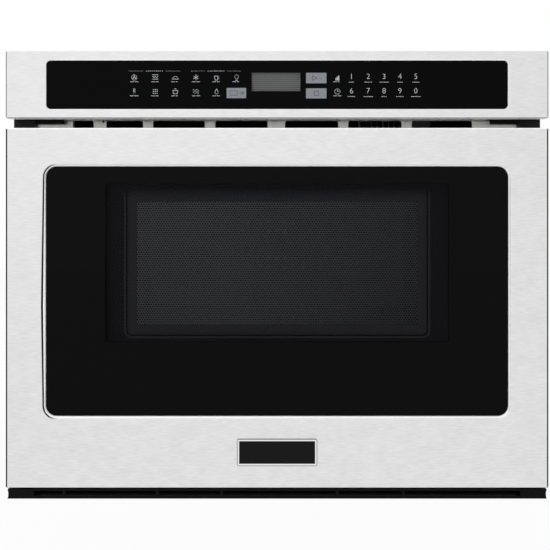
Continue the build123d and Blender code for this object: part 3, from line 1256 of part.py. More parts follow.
def magnets():
    """Two ring magnets at the ends of the anode."""
    rings = []
    for x0 in (MAG_X0, MAG_X1 - MAG_WALL - MAGNET_T):
        magnet = rod_x(x0, x0 + MAGNET_T, MAG_Y, MAG_Z, MAGNET_R)
        rings.append(magnet - rod_x(x0, x0 + MAGNET_T, MAG_Y, MAG_Z, ANTENNA_R + ANTENNA_HOLE))
    return rings


def anode():
    """Anode with its cooling fins, and the antenna that reaches into the waveguide."""
    x0 = MAG_X0 + MAGNET_T
    x1 = MAG_X1 - MAG_WALL - MAGNET_T
    core = rod_x(x0, x1, MAG_Y, MAG_Z, ANODE_R)
    core += rod_x(GUIDE_X1 - ANTENNA_L, x0, MAG_Y, MAG_Z, ANTENNA_R)
    z0 = MAG_Z0 + MAG_WALL
    for i in range(FINS):
        x = x0 + (x1 - x0) * (i + 0.5) / FINS
        core += block(x - FIN_T / 2, x + FIN_T / 2, MAG_Y0 + SHEET, MAG_Y1 - SHEET,
                      z0, MAG_Z0 + MAG_H - MAG_WALL)
    return core


def filter_box():
    """Filter box with the magnetron's terminals."""
    half = MAGNET_R
    box = block(MAG_X1, MAG_X1 + FILTER_L, MAG_Y - half, MAG_Y + half, MAG_Z - half, MAG_Z + half)
    return fillet(box.edges().filter_by(Axis.X), EDGE_R)


def magnetron():
    """Magnetron: yoke, ring magnets, finned anode with antenna, and filter box."""
    return group([yoke(), *magnets(), anode(), filter_box()])


def core():
    """Laminated core of the high-voltage transformer, with two windows for its coils."""
    x0 = CORE_X - CORE_W / 2
    stack = block(x0, x0 + CORE_W, CORE_Y, CORE_Y + CORE_D, FLOOR_Z, FLOOR_Z + CORE_H)
    for x in (x0 + CORE_LEG, CORE_X + CORE_LEG):
        stack -= block(x, x + CORE_W / 2 - 2 * CORE_LEG, CORE_Y, CORE_Y + CORE_D,
                       FLOOR_Z + CORE_LEG, FLOOR_Z + CORE_H - CORE_LEG)
    return stack


def coils():
    """Primary and secondary coil round the core's middle leg."""
    leg = CORE_LEG
    outer_x = CORE_W / 2 - CORE_LEG
    z0 = FLOOR_Z + CORE_LEG
    height = (CORE_H - 2 * CORE_LEG - COIL_GAP) / 2
    windings = []
    for base in (z0, z0 + height + COIL_GAP):
        shape = Rectangle(2 * (outer_x - SEAT), CORE_D + 2 * COIL_BULGE)
        shape = fillet(shape.vertices(), COIL_BULGE) - Rectangle(2 * (leg + SEAT), CORE_D + 2 * SEAT)
        windings.append(flat_slab(Pos(CORE_X, CORE_Y + CORE_D / 2) * shape, base, base + height))
    return windings


def hv_transformer():
    """High-voltage transformer: laminated core and two coils."""
    return group([core(), *coils()])


def can():
    """Oval capacitor can with two terminals."""
    body = flat_slab(Pos(CAP_X, CAP_Y) * SlotOverall(CAP_W, CAP_D), FLOOR_Z, FLOOR_Z + CAP_H)
    for side in (-1, 1):
        x = CAP_X + side * CAP_D / 3
        body += rod_z(FLOOR_Z + CAP_H, FLOOR_Z + CAP_H + CAP_TERMINAL_H, x, CAP_Y, SHAFT_R)
    return body


def clamp():
    """Band that holds the capacitor, with a foot on the base pan."""
    outer = SlotOverall(CAP_W + 2 * FLANGE_T, CAP_D + 2 * FLANGE_T) - SlotOverall(CAP_W, CAP_D)
    band = flat_slab(Pos(CAP_X, CAP_Y) * outer, FLOOR_Z + CAP_BAND, FLOOR_Z + 2 * CAP_BAND)
    x0 = CAP_X + CAP_W / 2
    x1 = x0 + CAP_BAND
    y0 = CAP_Y - CAP_BAND / 2
    z0 = FLOOR_Z + CAP_BAND
    band += block(x0 + FLANGE_T / 2, x1, y0, y0 + CAP_BAND, z0, z0 + FLANGE_T)
    return band + block(x1 - FLANGE_T, x1, y0, y0 + CAP_BAND, FLOOR_Z, z0)


def diode():
    """High-voltage diode, its ring terminal on the base pan."""
    x1 = DIODE_X + DIODE_L
    half = DIODE_W / 2
    body = block(DIODE_X, x1, CAP_Y - half, CAP_Y + half, FLOOR_Z, FLOOR_Z + DIODE_H)
    half = DIODE_TAB_W / 2
    return body + block(x1, x1 + DIODE_TAB_L, CAP_Y - half, CAP_Y + half, FLOOR_Z, FLOOR_Z + DIODE_TAB_W)


def hv_capacitor():
    """High-voltage capacitor in its clamp, with the diode beside it."""
    return group([can(), clamp(), diode()])


# --- Cooling --------------------------------------------------------------------------------------
def air_duct():
    """Moulded duct: fan housing on four legs, motor arms, and the channel to the top of the chassis."""
    duct = block(AIR_X0, AIR_X1, AIR_Y0, AIR_Y1, BLOWER_Z0, AIR_Z1)
    duct -= block(AIR_X0 + AIR_WALL, AIR_X1 - AIR_WALL, AIR_Y0 + AIR_WALL, AIR_Y1 - AIR_WALL,
                  AIR_Z0, AIR_Z1)
    duct -= rod_z(BLOWER_Z0, AIR_Z0, BLOWER_X, BLOWER_Y, BLOWER_R + BLOWER_GAP)
    reach = BLOWER_R + BLOWER_GAP + AIR_WALL
    arm = BLOWER_ARM / 2
    arms = block(-reach, reach, -arm, arm, BLOWER_Z0, BLOWER_Z0 + BLOWER_ARM)
    arms += block(-arm, arm, -reach, reach, BLOWER_Z0, BLOWER_Z0 + BLOWER_ARM)
    arms -= rod_z(BLOWER_Z0, BLOWER_Z0 + BLOWER_ARM, 0, 0, BLOWER_MOTOR_R)
    duct += Pos(BLOWER_X, BLOWER_Y, 0) * arms
    for x in (AIR_X0, AIR_X1 - BLOWER_LEG):
        for y in (AIR_Y0, AIR_Y1 - BLOWER_LEG):
            duct += block(x, x + BLOWER_LEG, y, y + BLOWER_LEG, FLOOR_Z, BLOWER_Z0)
    return duct


def cooling_fan_motor():
    """Motor of the cooling fan, held by the arms of the housing."""
    z1 = BLOWER_Z0 + BLOWER_ARM
    motor = rod_z(z1 - BLOWER_MOTOR_H, z1, BLOWER_X, BLOWER_Y, BLOWER_MOTOR_R)
    return motor - rod_z(z1 - BLOWER_MOTOR_H / 2, z1, BLOWER_X, BLOWER_Y, STIRRER_SHAFT_R + SHAFT_PLAY)


def cooling_fan():
    """Axial impeller with its shaft."""
    z0 = BLOWER_Z0 + BLOWER_ARM + BLOWER_GAP
    z1 = AIR_Z0 - BLOWER_GAP
    fan = rod_z(z0, z1, 0, 0, BLOWER_HUB_R)
    fan += rod_z(BLOWER_Z0 + BLOWER_ARM - BLOWER_MOTOR_H / 2, z0, 0, 0, STIRRER_SHAFT_R)
    inner = BLOWER_HUB_R - AIR_WALL
    blade = Pos((BLOWER_R + inner) / 2, 0, (z0 + z1) / 2) * Rot(X=BLOWER_PITCH)
    blade *= Box(BLOWER_R - inner, BLOWER_CHORD, AIR_WALL)
    rim = rod_z(z0, z1, 0, 0, BLOWER_R)
    for i in range(BLOWER_BLADES):
        fan += (Rot(Z=360 * i / BLOWER_BLADES) * blade) & rim
    return Pos(BLOWER_X, BLOWER_Y, 0) * fan


# --- Electrics ------------------------------------------------------------------------------------
def board_with_parts(x0, x1, y0, y1, floor, lift, parts):
    """A circuit board on four posts, with its larger parts standing on it."""
    z0 = floor + lift
    z1 = z0 + BOARD_T
    board = block(x0, x1, y0, y1, z0, z1)
    for x in (x0 + POST_IN, x1 - POST_IN):
        for y in (y0 + POST_IN, y1 - POST_IN):
            board += rod_z(floor, z0, x, y, POST_R)
    for dx, dy, w, d, h in parts:
        board += block(x0 + dx, x0 + dx + w, y0 + dy, y0 + dy + d, z1, z1 + h)
    return board


def power_board():
    """Relay and supply board over the cavity: transformer, relays and capacitors."""
    return board_with_parts(BOARD_X0, BOARD_X1, BOARD_Y0, BOARD_Y1, CAVITY_TOP, BOARD_LIFT, POWER_PARTS)


def noise_filter_board():
    """Line filter board beside the cord inlet: choke, capacitors and fuse."""
    return board_with_parts(FILTER_BOARD_X0, FILTER_BOARD_X0 + FILTER_BOARD_W,
                            FILTER_BOARD_Y0, FILTER_BOARD_Y0 + FILTER_BOARD_D,
                            FLOOR_Z, BOARD_LIFT, FILTER_PARTS)


def control_boards():
    """The relay and supply board and the line filter board."""
    return group([power_board(), noise_filter_board()])


def interlock_switch():
    """Right-hand switch holder behind the front frame, beside the latch hook."""
    y0 = at(FRAME_BACK)
    x0 = HOOK_X + HOOK_T + HOOK_SLOT
    body = block(x0, x0 + SWITCH_W, y0, y0 + SWITCH_D, HOOK_Z - SWITCH_H / 2, HOOK_Z + SWITCH_H / 2)
    lever = block(x0 - HOOK_SLOT / 2, x0, y0 + SWITCH_D / 3, y0 + SWITCH_D / 2,
                  HOOK_Z - SHEET, HOOK_Z + SHEET)
    return body + lever


def pieces():
    """Every piece of the drawer, by name."""
    plain = [door_frame, door_glass, glass_frame, door_screen, choke_frame, choke_cover, inner_glass,
             inner_panel, badge_plate, drawer_bumpers, door_screws, drawer_box, glass_tray, drive_rack,
             drive_pinion, drive_motor, drive_bracket, base_pan, rear_panel, top_cover, cover_screws,
             front_frame, vent_plate, bottom_grille, cord_inlet, panel_trim, touch_glass, display_board,
             panel_housing, cavity_shell, grill_heater, cavity_lamp, fan_cover, convection_housing,
             convection_fan, convection_motor, convection_heater, waveguide, stirrer_cover, stirrer,
             stirrer_motor, magnetron, hv_transformer, hv_capacitor, air_duct, cooling_fan_motor,
             cooling_fan, control_boards]
    made = {make.__name__: make() for make in plain}
    made["latch_hooks"] = pair(latch_hook())
    made["drawer_brackets"] = pair(drawer_bracket())
    made["rail_inner_members"] = pair(rail_inner())
    made["rail_outer_members"] = pair(rail_outer())
    made["rail_brackets"] = pair(rail_bracket())
    made["side_plates"] = pair(side_plate())
    made["mounting_flanges"] = pair(mounting_flange())
    made["interlock_switches"] = pair(interlock_switch())
    made["rail_middle_right"] = rail_middle()
    made["rail_middle_left"] = mirrored(rail_middle())
    outer_row = MIDDLE_HALF + BALL_SPACE / 2
    inner_row = INNER_HALF + BALL_SPACE / 2
    outer = ball_cage(RAIL_T + CAGE_GAP, MIDDLE_AT + BALL_SIDE, outer_row)
    inner = ball_cage(MIDDLE_AT + RAIL_T + CAGE_GAP, INNER_AT + BALL_SIDE, inner_row)
    made["ball_cages_outer"] = group(outer + [mirrored(solid) for solid in outer])
    made["ball_cages_inner"] = group(inner + [mirrored(solid) for solid in inner])
    return made


os.makedirs("parts", exist_ok=True)
for name, shape in pieces().items():
    export_step(shape, f"parts/{name}.step")
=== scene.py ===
import json
import math

import bpy
import numpy as np
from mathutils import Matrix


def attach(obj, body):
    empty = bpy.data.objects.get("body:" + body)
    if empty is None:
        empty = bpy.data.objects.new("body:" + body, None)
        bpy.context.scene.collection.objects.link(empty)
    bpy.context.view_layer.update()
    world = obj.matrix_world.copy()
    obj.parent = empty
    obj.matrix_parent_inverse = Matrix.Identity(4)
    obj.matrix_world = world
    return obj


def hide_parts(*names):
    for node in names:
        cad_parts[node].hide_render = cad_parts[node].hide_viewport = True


MM = 0.001

# --- Places and sizes, millimetres ------------------------------------------------------------------
# A rectangle is (half width, bottom, top, corner radius), unless its line says otherwise.
FACE_Y = -295.5  # plane of the stainless fronts
TOUCH_Y = -294.5  # front of the touch glass

DOOR_EDGE = (303.0, 9.0, 417.0, 1.5)  # outline of the painted shade along the bent edges; its top lies above the metal
DOOR_WINDOW = (258.5, 91.6, 370.9, 12.0)
DOOR_TOP = 414.0
PANEL_EDGE = (303.0, 424.5, 503.0, 1.5)
PANEL_WINDOW = (257.5, 435.0, 489.0, 6.0)
PANEL_BOTTOM = 425.5
HIGHLIGHT_FROM = (-0.8, -0.4)  # painted highlight round an opening, measured outwards from its edge
HIGHLIGHT_TO = (0.9, 1.4)
REFLECTION_FROM = (1.0, 1.4)  # painted dark reflection on the left of the door's window, measured in the same way
REFLECTION_TO = (2.4, 2.9)
REFLECTION_SIDE = (-255.0, -245.0)  # X where the dark reflection fades out
REFLECTION_Z = 215.0  # height where the dark reflection bulges most
REFLECTION_REACH = 150.0  # how far above and below that it starts to bulge
REFLECTION_SHIFT = 1.3  # how far its inner edge moves out there
REFLECTION_SWELL = 0.9  # how much wider it gets there

CLEAR = (192.0, 175.0, 351.5, 1.5)  # see-through part of the window
SCREEN_Y = (-280.3, -279.5)  # front and back of the perforated screen
SCREEN_PLATE = (182.0, 175.0, 356.5)  # half width, bottom, top
BEAD = (172.3, 178.6, 356.5, 8.0)  # pressed bead round the field
MESH = (160.0, 191.0, 334.0)  # perforated field: half width, bottom, top
MESH_PITCH = 2.85
MESH_HOLE = 1.12  # radius of a hole
MESH_MARGIN = 1.6  # the field's own colour starts this far inside its outline

DISPLAY = (-1.2, 465.6, 54.7, 21.2)  # middle x, middle z, width, height
DISPLAY_ROW = 2.3  # pitch of the display's rows
BADGE = (89.4, 30.0, 52.0, 2.2)  # width, height, middle z, rim

INK_LIFT = 0.08  # print in front of the touch glass
KEYS = {"open": (-56.3, -34.6, 447.1, 458.5), "start": (32.3, 55.1, 463.7, 475.4),
        "stop": (32.3, 55.1, 446.8, 458.1)}  # left, right, bottom, top
KEY_CORNER = 0.5
LEGEND_X = [-159.5, -136.0, -113.6, -90.6, -67.6, -45.2]
LEGEND_Z = [470.2, 454.5]
LEGEND_H = 6.0  # height of a symbol
LEGEND_LINE = 0.42  # width of its strokes, and of the two dashes under it
DASH_DROP = 4.8  # from a symbol's middle down to its dashes
DASH_ENDS = (0.7, 4.4)  # inner and outer end of a dash, from the middle
SIDE_X = 67.3  # the two symbols beside the numerals
HEADER_Z = 477.4
HEADERS = ((-165.6, -108.5), (-96.2, -40.2))  # ends of the rules over the two groups
HEADER_GAP = 12.5  # half of the gap in a rule
HEADER_RULE = 0.1  # width of the rule
HEADER_DOTS = 4  # dots on either side of the middle one
HEADER_PITCH = 2.2
DIGIT_X = [83.0, 101.7, 119.4, 137.1, 154.8]
DIGIT_Z = [471.5, 455.4]
DIGIT_H = 5.7
DIGIT_THINNING = -0.022  # offset of the numerals' outlines, in ems
DIGIT_DROP = 6.5  # from a numeral's middle down to its dots
DIGIT_PITCH = 1.2  # pitch of those dots
DOT = 0.55  # height of a dot

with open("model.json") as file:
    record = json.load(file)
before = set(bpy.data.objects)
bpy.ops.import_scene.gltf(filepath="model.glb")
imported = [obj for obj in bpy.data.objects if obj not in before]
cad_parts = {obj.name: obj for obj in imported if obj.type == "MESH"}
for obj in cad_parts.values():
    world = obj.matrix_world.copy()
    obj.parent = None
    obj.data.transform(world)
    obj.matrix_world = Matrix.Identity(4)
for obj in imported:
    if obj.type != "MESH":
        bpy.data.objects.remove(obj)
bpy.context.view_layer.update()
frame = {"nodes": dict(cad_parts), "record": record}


# --- Colours and nodes ------------------------------------------------------------------------------
def linear(hex_code):
    """Linear RGBA of an sRGB hex colour."""
    channels = [int(hex_code[i:i + 2], 16) / 255 for i in (0, 2, 4)]
    return tuple(c / 12.92 if c <= 0.04045 else ((c + 0.055) / 1.055) ** 2.4 for c in channels) + (1.0,)


def dimmed(color, share):
    """The colour with only a share of its light."""
    return tuple(c * share for c in color[:3]) + (1.0,)


def feed(tree, socket, value):
    """Links another node's output to a socket, or sets the socket to a constant."""
    if isinstance(value, bpy.types.NodeSocket):
        tree.links.new(value, socket)
    else:
        socket.default_value = value


def add(tree, kind, sockets=None, **settings):
    """Adds a node; sockets maps an input to a constant or to another node's output."""
    made = tree.nodes.new(kind)
    for key, value in settings.items():
        setattr(made, key, value)
    for key, value in (sockets or {}).items():
        feed(tree, made.inputs[key], value)
    return made


def material(name, color, roughness, metallic=0.0, **sockets):
    """A Principled material; returns it with its tree, its shader and its Object coordinates."""
    made = bpy.data.materials.new(name)
    made.use_nodes = True
    tree = made.node_tree
    shader = tree.nodes["Principled BSDF"]
    shader.inputs["Base Color"].default_value = color
    shader.inputs["Roughness"].default_value = roughness
    shader.inputs["Metallic"].default_value = metallic
    for key, value in sockets.items():
        shader.inputs[key.replace("_", " ")].default_value = value
    place = add(tree, "ShaderNodeTexCoord").outputs["Object"]
    return made, tree, shader, place


def axes(tree, place):
    """X, Y and Z of a coordinate."""
    return add(tree, "ShaderNodeSeparateXYZ", {"Vector": place}).outputs


def math_node(tree, operation, first, second=0.0):
    """Result of one Math node."""
    made = add(tree, "ShaderNodeMath", operation=operation)
    for socket, value in zip(made.inputs, (first, second)):
        feed(tree, socket, value)
    return made.outputs["Value"]


def noise(tree, place, scale, detail=3.0, stretch=None):
    """Noise on Object coordinates, grains per metre; stretch squeezes it along an axis."""
    if stretch is not None:
        place = add(tree, "ShaderNodeMapping", {"Vector": place, "Scale": stretch}).outputs["Vector"]
    sockets = {"Vector": place, "Scale": scale, "Detail": detail}
    return add(tree, "ShaderNodeTexNoise", sockets).outputs["Fac"]


def spread(tree, value, low, high, from_low=0.3, from_high=0.7):
    """Maps a value to the range low to high and holds it there; from_low and from_high suit noise."""
    sockets = {"Value": value, "From Min": from_low, "From Max": from_high, "To Min": low, "To Max": high}
    return add(tree, "ShaderNodeMapRange", sockets).outputs["Result"]


def mix(tree, fac, low, high):
    """Colour between two colours or colour sockets, by fac."""
    mixed = add(tree, "ShaderNodeMix", {"Factor": fac}, data_type="RGBA")
    for socket in mixed.inputs:
        if socket.type == "RGBA":
            feed(tree, socket, low if socket.name == "A" else high)
    return [socket for socket in mixed.outputs if socket.type == "RGBA"][0]


def bump(tree, shader, height, depth_mm, strength):
    """Bumps the shader's normal by a height socket."""
    made = add(tree, "ShaderNodeBump", {"Height": height, "Distance": depth_mm * MM, "Strength": strength})
    feed(tree, shader.inputs["Normal"], made.outputs["Normal"])


def from_edge(tree, place, half_w, z0, z1, corner, x=0.0):
    """Distance in millimetres from the edge of a rounded rectangle in the XZ plane, below 0 inside it."""
    split = axes(tree, place)
    across = math_node(tree, "ABSOLUTE", math_node(tree, "SUBTRACT", split["X"], x * MM))
    up = math_node(tree, "ABSOLUTE", math_node(tree, "SUBTRACT", split["Z"], (z0 + z1) / 2 * MM))
    dx = math_node(tree, "SUBTRACT", across, (half_w - corner) * MM)
    dz = math_node(tree, "SUBTRACT", up, ((z1 - z0) / 2 - corner) * MM)
    out_x = math_node(tree, "POWER", math_node(tree, "MAXIMUM", dx, 0.0), 2.0)
    out_z = math_node(tree, "POWER", math_node(tree, "MAXIMUM", dz, 0.0), 2.0)
    beyond = math_node(tree, "SQRT", math_node(tree, "ADD", out_x, out_z))
    within = math_node(tree, "MINIMUM", math_node(tree, "MAXIMUM", dx, dz), 0.0)
    far = math_node(tree, "SUBTRACT", math_node(tree, "ADD", beyond, within), corner * MM)
    return math_node(tree, "DIVIDE", far, MM)


def inside(tree, place, half_w, z0, z1, corner, x=0.0):
    """1 inside a rounded rectangle in the XZ plane, 0 outside, with an edge 0.3 mm soft."""
    return spread(tree, from_edge(tree, place, half_w, z0, z1, corner, x), 1.0, 0.0, -0.15, 0.15)


def display_rectangle(rim, corner):
    """The display's outline widened by rim, as inside takes it."""
    x, z, width, height = DISPLAY
    return width / 2 + rim, z - height / 2 - rim, z + height / 2 + rim, corner, x


def stops(tree, value, low, high, colors):
    """Colour by a value from low to high; colors lists (value, colour), blended from one to the next."""
    ramp = add(tree, "ShaderNodeValToRGB", {"Fac": spread(tree, value, 0.0, 1.0, low, high)})
    first, last = ramp.color_ramp.elements
    first.position, first.color = (colors[0][0] - low) / (high - low), colors[0][1]
    last.position, last.color = (colors[-1][0] - low) / (high - low), colors[-1][1]
    for at, color in colors[1:-1]:
        ramp.color_ramp.elements.new((at - low) / (high - low)).color = color
    return ramp.outputs["Color"]


# --- Materials --------------------------------------------------------------------------------------
STEEL = linear("f4f4f4")
STEEL_ROUGHNESS = 0.34


def brushed(name, color, roughness):
    """Brushed metal: bright, with a fine horizontal grain and faint blotches where it was rolled."""
    made, tree, shader, place = material(name, color, roughness, 1.0)
    grain = noise(tree, place, 900.0, 2.0, (0.1, 1.0, 1.0))
    blotch = noise(tree, place, 90.0, 4.0, (0.7, 1.0, 1.0))
    rough = math_node(tree, "ADD", spread(tree, grain, -0.03, 0.03), spread(tree, blotch, -0.02, 0.02))
    feed(tree, shader.inputs["Roughness"], math_node(tree, "ADD", rough, roughness))
    worn = math_node(tree, "ADD", spread(tree, grain, 0.0, 0.6, 0.35, 0.65), spread(tree, blotch, 0.0, 0.4))
    feed(tree, shader.inputs["Base Color"], mix(tree, worn, dimmed(color, 0.85), color))
    bump(tree, shader, grain, 0.002, 0.3)
    return made


def front_steel(name, outer, opening, edge_shade_width, highlight_strength, door):
    """Brushed stainless front, with painted shade along its bent outer edge and a painted highlight round
    the opening.

    edge_shade_width is the width of the painted shade and highlight_strength the strength of the painted
    highlight. The door's front also has a painted highlight along its top edge, and a painted dark
    reflection on the left of its opening, which bulges at mid height. The panel's front has a pale
    underside, painted light where it lies in shade.
    """
    made = brushed(name, STEEL, STEEL_ROUGHNESS)
    tree = made.node_tree
    shader = tree.nodes["Principled BSDF"]
    place = add(tree, "ShaderNodeTexCoord").outputs["Object"]
    split = axes(tree, place)
    face = spread(tree, split["Y"], 1.0, 0.0, (FACE_Y + 3.0) * MM, (FACE_Y + 4.0) * MM)
    # Painted shade: a dark band along the bent outer edge, on the front face only.
    dark = spread(tree, from_edge(tree, place, *outer), 0.0, 1.0, -edge_shade_width - 0.3, -edge_shade_width + 0.3)
    near = from_edge(tree, place, *opening)
    # Painted highlight: a pale, less metallic line round the opening.
    painted_highlight = spread(tree, near, 0.0, highlight_strength, *HIGHLIGHT_FROM)
    if door:
        # Painted dark reflection left of the window, bulging at mid height.
        left = spread(tree, split["X"], 1.0, 0.0, REFLECTION_SIDE[0] * MM, REFLECTION_SIDE[1] * MM)
        above = math_node(tree, "ABSOLUTE", math_node(tree, "SUBTRACT", split["Z"], REFLECTION_Z * MM))
        bulge = math_node(tree, "MULTIPLY", left, spread(tree, above, 1.0, 0.0, 0.0, REFLECTION_REACH * MM))
        start = math_node(tree, "SUBTRACT", near, math_node(tree, "MULTIPLY", bulge, REFLECTION_SHIFT))
        end = math_node(tree, "SUBTRACT", start, math_node(tree, "MULTIPLY", bulge, REFLECTION_SWELL))
        window_reflection = math_node(tree, "MULTIPLY", spread(tree, start, 0.0, 1.0, *REFLECTION_FROM),
                           spread(tree, end, 1.0, 0.0, *REFLECTION_TO))
        dark = math_node(tree, "MAXIMUM", dark, math_node(tree, "MULTIPLY", window_reflection, left))
        painted_highlight = math_node(tree, "MULTIPLY", painted_highlight, spread(tree, start, 1.0, 0.0, *HIGHLIGHT_TO))
        # Painted highlight along the door's top edge.
        painted_light = spread(tree, split["Z"], 0.0, 0.8, (DOOR_TOP - 1.8) * MM, (DOOR_TOP - 1.2) * MM)
    else:
        painted_highlight = math_node(tree, "MULTIPLY", painted_highlight, spread(tree, near, 1.0, 0.0, *HIGHLIGHT_TO))
        # Painted light: the panel's underside, which lies in shade, is made pale and less metallic.
        low = spread(tree, split["Z"], 1.0, 0.0, (PANEL_BOTTOM + 0.6) * MM, (PANEL_BOTTOM + 0.9) * MM)
        back = spread(tree, split["Y"], 0.0, 1.0, (FACE_Y + 0.8) * MM, (FACE_Y + 1.2) * MM)
        painted_light = math_node(tree, "MULTIPLY", low, back)
    painted_highlight = math_node(tree, "MAXIMUM", painted_highlight, painted_light)
    plain = shader.inputs["Base Color"].links[0].from_socket
    shaded = mix(tree, math_node(tree, "MULTIPLY", dark, face), plain, linear("1c1c1e"))
    feed(tree, shader.inputs["Base Color"], mix(tree, painted_highlight, shaded, linear("f8f8f8")))
    feed(tree, shader.inputs["Metallic"], spread(tree, painted_highlight, 1.0, 0.15, 0.0, 1.0))
    return made


def galvanised(name, color, roughness, metallic=1.0):
    """Zinc-coated sheet: dull grey with pale crystals a few millimetres wide."""
    made, tree, shader, place = material(name, color, roughness, metallic)
    cells = add(tree, "ShaderNodeTexVoronoi", {"Vector": place, "Scale": 170.0}).outputs["Color"]
    fac = add(tree, "ShaderNodeSeparateColor", {"Color": cells}).outputs["Red"]
    feed(tree, shader.inputs["Base Color"], mix(tree, fac, dimmed(color, 0.8), color))
    rough = spread(tree, fac, roughness - 0.08, roughness + 0.08, 0.0, 1.0)
    feed(tree, shader.inputs["Roughness"], rough)
    return made


def grained(name, color, roughness, metallic=0.0, scale=700.0, depth=0.02, contrast=0.12, **sockets):
    """Moulded, painted or plated surface: an even colour with a fine grain that breaks up its gloss."""
    made, tree, shader, place = material(name, color, roughness, metallic, **sockets)
    grain = noise(tree, place, scale, 4.0)
    worn = noise(tree, place, 14.0)
    feed(tree, shader.inputs["Base Color"], mix(tree, worn, dimmed(color, 1 - contrast), color))
    feed(tree, shader.inputs["Roughness"], spread(tree, grain, roughness - 0.05, roughness + 0.05))
    bump(tree, shader, grain, depth, 0.4)
    return made


def printed_glass(name, color, specular, clear, alpha):
    """Polished glass with black print on its back and a smoked see-through rectangle."""
    made, tree, shader, place = material(name, color, 0.04, Specular_IOR_Level=specular, IOR=1.45)
    seen = inside(tree, place, *clear)
    feed(tree, shader.inputs["Alpha"], spread(tree, seen, 1.0, alpha, 0.0, 1.0))
    feed(tree, shader.inputs["Roughness"], spread(tree, noise(tree, place, 40.0), 0.03, 0.06))
    return made


def screen_enamel():
    """Enamelled screen: a border with painted shade darkening it outwards, then a bead between two black
    lines of painted shade at its feet, then the field.

    The webs of the field are pale, with painted shade darkening them to the right and below. The plate has
    a painted shadow that darkens it to its top.
    """
    made, tree, shader, place = material("screen_enamel", linear("38383c"), 0.5, Specular_IOR_Level=0.1)
    # line is near black: the two lines at the bead's feet are painted shade, and the border is given
    # painted shade that darkens it outwards.
    line, bead = linear("060607"), linear("56565a")
    colors = [(-9.0, linear("505056")), (-3.4, linear("4a4a50")), (-2.6, line), (-1.4, line), (-1.0, bead),
              (0.9, bead), (1.3, line), (2.6, line), (3.4, linear("66666a")), (20.0, linear("3a3a3c"))]
    plate = stops(tree, from_edge(tree, place, *BEAD), -12.0, 20.0, colors)
    half_w, z0, z1 = MESH
    split = axes(tree, place)
    # Painted shadow: the plate fades to near black towards its top.
    lit = spread(tree, split["Z"], 0.0, 1.0, (CLEAR[2] + 0.5) * MM, (z1 + 1.0) * MM)
    plate = mix(tree, lit, line, plate)
    # Painted shade: the webs darken to the right and below.
    side_shade = math_node(tree, "ADD", spread(tree, split["X"], 0.0, 0.7, -0.06, 0.15),
                      spread(tree, split["Z"], 0.3, 0.0, z0 * MM, z1 * MM))
    webs = mix(tree, side_shade, linear("94949a"), linear("6a6a70"))
    field = inside(tree, place, half_w - MESH_MARGIN, z0 + MESH_MARGIN, z1 - MESH_MARGIN, 1.0)
    feed(tree, shader.inputs["Base Color"], mix(tree, field, plate, webs))
    feed(tree, shader.inputs["Roughness"], spread(tree, noise(tree, place, 700.0), 0.45, 0.55))
    return made


def clear_glass():
    """Clear tempered glass, with a faint green body."""
    made, tree, shader, place = material("clear_tempered_glass", linear("8f9492"), 0.02,
                                         Alpha=0.08, Specular_IOR_Level=0.3)
    feed(tree, shader.inputs["Roughness"], spread(tree, noise(tree, place, 30.0), 0.015, 0.03))
    return made


def unlit_display():
    """Grey liquid crystal face with faint rows, on a green sensor board."""
    made, tree, shader, place = material("unlit_display", linear("8c9094"), 0.4)
    turns = math_node(tree, "MULTIPLY", axes(tree, place)["Z"], 2 * math.pi / (DISPLAY_ROW * MM))
    wave = spread(tree, math_node(tree, "SINE", turns), 0.0, 1.0, -1.0, 1.0)
    rows = mix(tree, wave, linear("808282"), linear("a4a6a6"))
    face = inside(tree, place, *display_rectangle(0.2, 0.3))
    feed(tree, shader.inputs["Base Color"], mix(tree, face, linear("12402a"), rows))
    feed(tree, shader.inputs["Roughness"], spread(tree, noise(tree, place, 300.0), 0.35, 0.45))
    return made


def badge_metal():
    """Badge: a polished chrome rim round a bare black field, with a painted dark reflection on the rim's
    outer edge.
    """
    made, tree, shader, place = material("chrome_rim_black_field", linear("f4f4f6"), 0.12, 1.0,
                                         Specular_IOR_Level=0.1)
    width, height, middle, rim = BADGE
    edge = from_edge(tree, place, width / 2, middle - height / 2, middle + height / 2, 2.0)
    chrome, rim_reflection, field = linear("f4f4f6"), linear("77777a"), linear("0c0c0d")
    # Painted reflection: the outer strip of the rim is dark grey.
    colors = [(-rim - 0.3, field), (-rim, chrome), (-0.9, chrome), (-0.5, rim_reflection), (1.0, rim_reflection)]
    feed(tree, shader.inputs["Base Color"], stops(tree, edge, -6.0, 2.0, colors))
    feed(tree, shader.inputs["Metallic"], spread(tree, edge, 0.0, 1.0, -rim - 0.3, -rim))
    feed(tree, shader.inputs["Roughness"], spread(tree, noise(tree, place, 90.0), 0.1, 0.16))
    return made


def circuit_board():
    """Green lacquered boards with darker tracks, duller towards their top."""
    made, tree, shader, place = material("lacquered_board", linear("1c5a35"), 0.35)
    tracks = spread(tree, noise(tree, place, 260.0, 1.0, (1.0, 0.3, 1.0)), 0.0, 1.0, 0.45, 0.55)
    feed(tree, shader.inputs["Base Color"], mix(tree, tracks, linear("12401f"), linear("245f34")))
    feed(tree, shader.inputs["Roughness"], spread(tree, axes(tree, place)["Z"], 0.3, 0.45, 0.0, 0.5))
    return made


def copper_windings():
    """Varnished core and coils: dark brown with the fine ribs of wound wire and stacked sheets."""
    made, tree, shader, place = material("varnished_windings", linear("4a2c18"), 0.4)
    wire = add(tree, "ShaderNodeTexWave", {"Vector": place, "Scale": 260.0, "Distortion": 0.4},
               bands_direction="Z").outputs["Fac"]
    feed(tree, shader.inputs["Base Color"], mix(tree, wire, linear("2c1a10"), linear("6e4020")))
    bump(tree, shader, wire, 0.15, 0.6)
    return made


